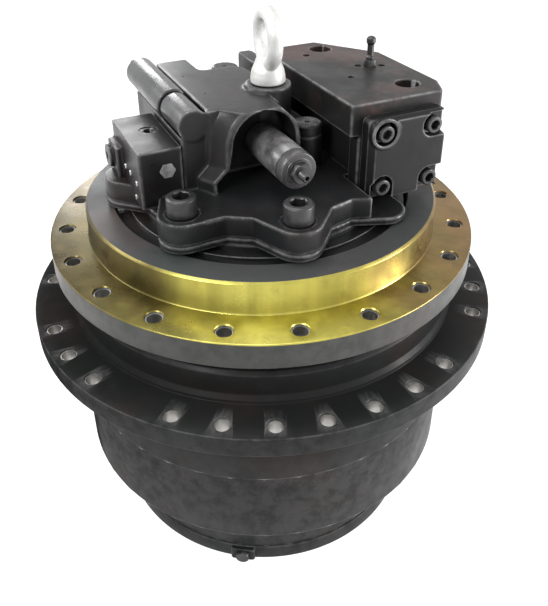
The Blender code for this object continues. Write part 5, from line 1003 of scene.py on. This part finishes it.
hub_skin()
ring_gear_skins()
cover_skin()
flange_skin()
threads("flange_threads", mount_holes(), 0.3445, 0.3700, "motor")
threads("sprocket_threads", sprocket_holes(), 0.2665, 0.2855, "hub")
case_skin()
rear_cover_skin()
left_block_skin()
right_block_skin()
cap_skin()
relief_skins()
speed_skin()
fasteners()
small_parts()
eye_bolt_skin()


# Floor, light and camera
FLOOR_GREY = 0.40
FLOOR_GLOW = 0.87
WORLD_LIGHT = 0.34
# Each lamp's name, place, target, width, height and watts
LAMPS = (
    ("back_left", (-0.68, 1.88, 1.12), (-0.05, 0.0, 0.50), 0.6, 0.35, 9.0),
    ("left", (-1.75, 0.35, 1.45), (0.0, 0.0, 0.45), 1.2, 0.5, 22.0),
    ("top", (-0.2, 0.2, 2.1), (0.0, 0.0, 0.40), 0.9, 0.9, 14.0),
    ("right", (1.9, -0.45, 0.6), (0.0, 0.0, 0.25), 0.6, 1.4, 55.0),
    ("left_front", (-1.0, -1.25, 1.45), (0.0, 0.0, 0.45), 0.7, 0.5, 20.0),
)
CAMERA_PLACE = (0.0, -0.71867, 0.77842)
CAMERA_TILT = math.radians(29.49)
CAMERA_ROLL = math.radians(-0.826)
CAMERA_LENS = 46.06
CAMERA_SHIFT = (0.0245, -0.168)


def pale_floor():
    work = bmesh.new()
    rings = [0.0, 0.5, 1.0, 2.0, 4.0, 8.0, 16.0, 30.0]
    add_turned(work, [(r, 0.0) for r in rings], 96)
    mesh = to_mesh("floor", work)
    floor = bpy.data.objects.new("floor", mesh)
    bpy.context.scene.collection.objects.link(floor)
    material = bpy.data.materials.new("floor_white")
    material.use_nodes = True
    mesh.materials.append(material)
    tree = material.node_tree
    tree.nodes.clear()
    out = tree.nodes.new("ShaderNodeOutputMaterial")
    add = tree.nodes.new("ShaderNodeAddShader")
    matte = tree.nodes.new("ShaderNodeBsdfDiffuse")
    matte.inputs["Color"].default_value = (FLOOR_GREY, FLOOR_GREY, FLOOR_GREY, 1.0)
    glow = tree.nodes.new("ShaderNodeEmission")
    tree.links.new(seen(tree, FLOOR_GLOW, 0.0), glow.inputs["Strength"])
    tree.links.new(matte.outputs[0], add.inputs[0])
    tree.links.new(glow.outputs[0], add.inputs[1])
    tree.links.new(add.outputs[0], out.inputs["Surface"])


def seen(tree, shown, hidden):
    """One strength for camera, glossy and transmission rays, another for the rest."""
    path = tree.nodes.new("ShaderNodeLightPath")
    total = path.outputs["Is Camera Ray"]
    for name in ("Is Glossy Ray", "Is Transmission Ray"):
        node = tree.nodes.new("ShaderNodeMath")
        node.operation = "MAXIMUM"
        tree.links.new(total, node.inputs[0])
        tree.links.new(path.outputs[name], node.inputs[1])
        total = node.outputs[0]
    spread = tree.nodes.new("ShaderNodeMapRange")
    spread.inputs["To Min"].default_value = hidden
    spread.inputs["To Max"].default_value = shown
    tree.links.new(total, spread.inputs["Value"])
    return spread.outputs["Result"]


def white_world():
    world = bpy.data.worlds.new("studio")
    bpy.context.scene.world = world
    world.use_nodes = True
    tree = world.node_tree
    back = tree.nodes["Background"]
    back.inputs["Color"].default_value = (1.0, 1.0, 1.0, 1.0)
    tree.links.new(seen(tree, 1.0, WORLD_LIGHT), back.inputs["Strength"])


def soft_lamp(name, place, target, width, height, power):
    light = bpy.data.lights.new(name, "AREA")
    light.shape = "RECTANGLE"
    light.size = width
    light.size_y = height
    light.energy = power
    obj = bpy.data.objects.new(name, light)
    bpy.context.scene.collection.objects.link(obj)
    obj.location = place
    obj.rotation_euler = (Vector(target) - Vector(place)).to_track_quat("-Z", "Y").to_euler()


def photo_camera():
    """The photo's view: place, tilt, roll, lens and shift were fitted to its circles and bolt holes."""
    forward = Vector((0.0, math.cos(CAMERA_TILT), -math.sin(CAMERA_TILT)))
    up = Vector((0.0, math.sin(CAMERA_TILT), math.cos(CAMERA_TILT)))
    right = Vector((1.0, 0.0, 0.0))
    across = right * math.cos(CAMERA_ROLL) + up * math.sin(CAMERA_ROLL)
    rise = up * math.cos(CAMERA_ROLL) - right * math.sin(CAMERA_ROLL)
    data = bpy.data.cameras.new("photo_camera")
    data.sensor_fit = "HORIZONTAL"
    data.sensor_width = 36.0
    data.lens = CAMERA_LENS
    data.shift_x, data.shift_y = CAMERA_SHIFT
    data.clip_start = 0.01
    data.clip_end = 100.0
    camera = bpy.data.objects.new("photo_camera", data)
    bpy.context.scene.collection.objects.link(camera)
    placed = Matrix((across, rise, -forward)).transposed().to_4x4()
    placed.translation = Vector(CAMERA_PLACE)
    camera.matrix_world = placed
    bpy.context.scene.camera = camera


pale_floor()
white_world()
for lamp in LAMPS:
    soft_lamp(*lamp)
photo_camera()
bpy.context.scene.view_settings.view_transform = "Standard"
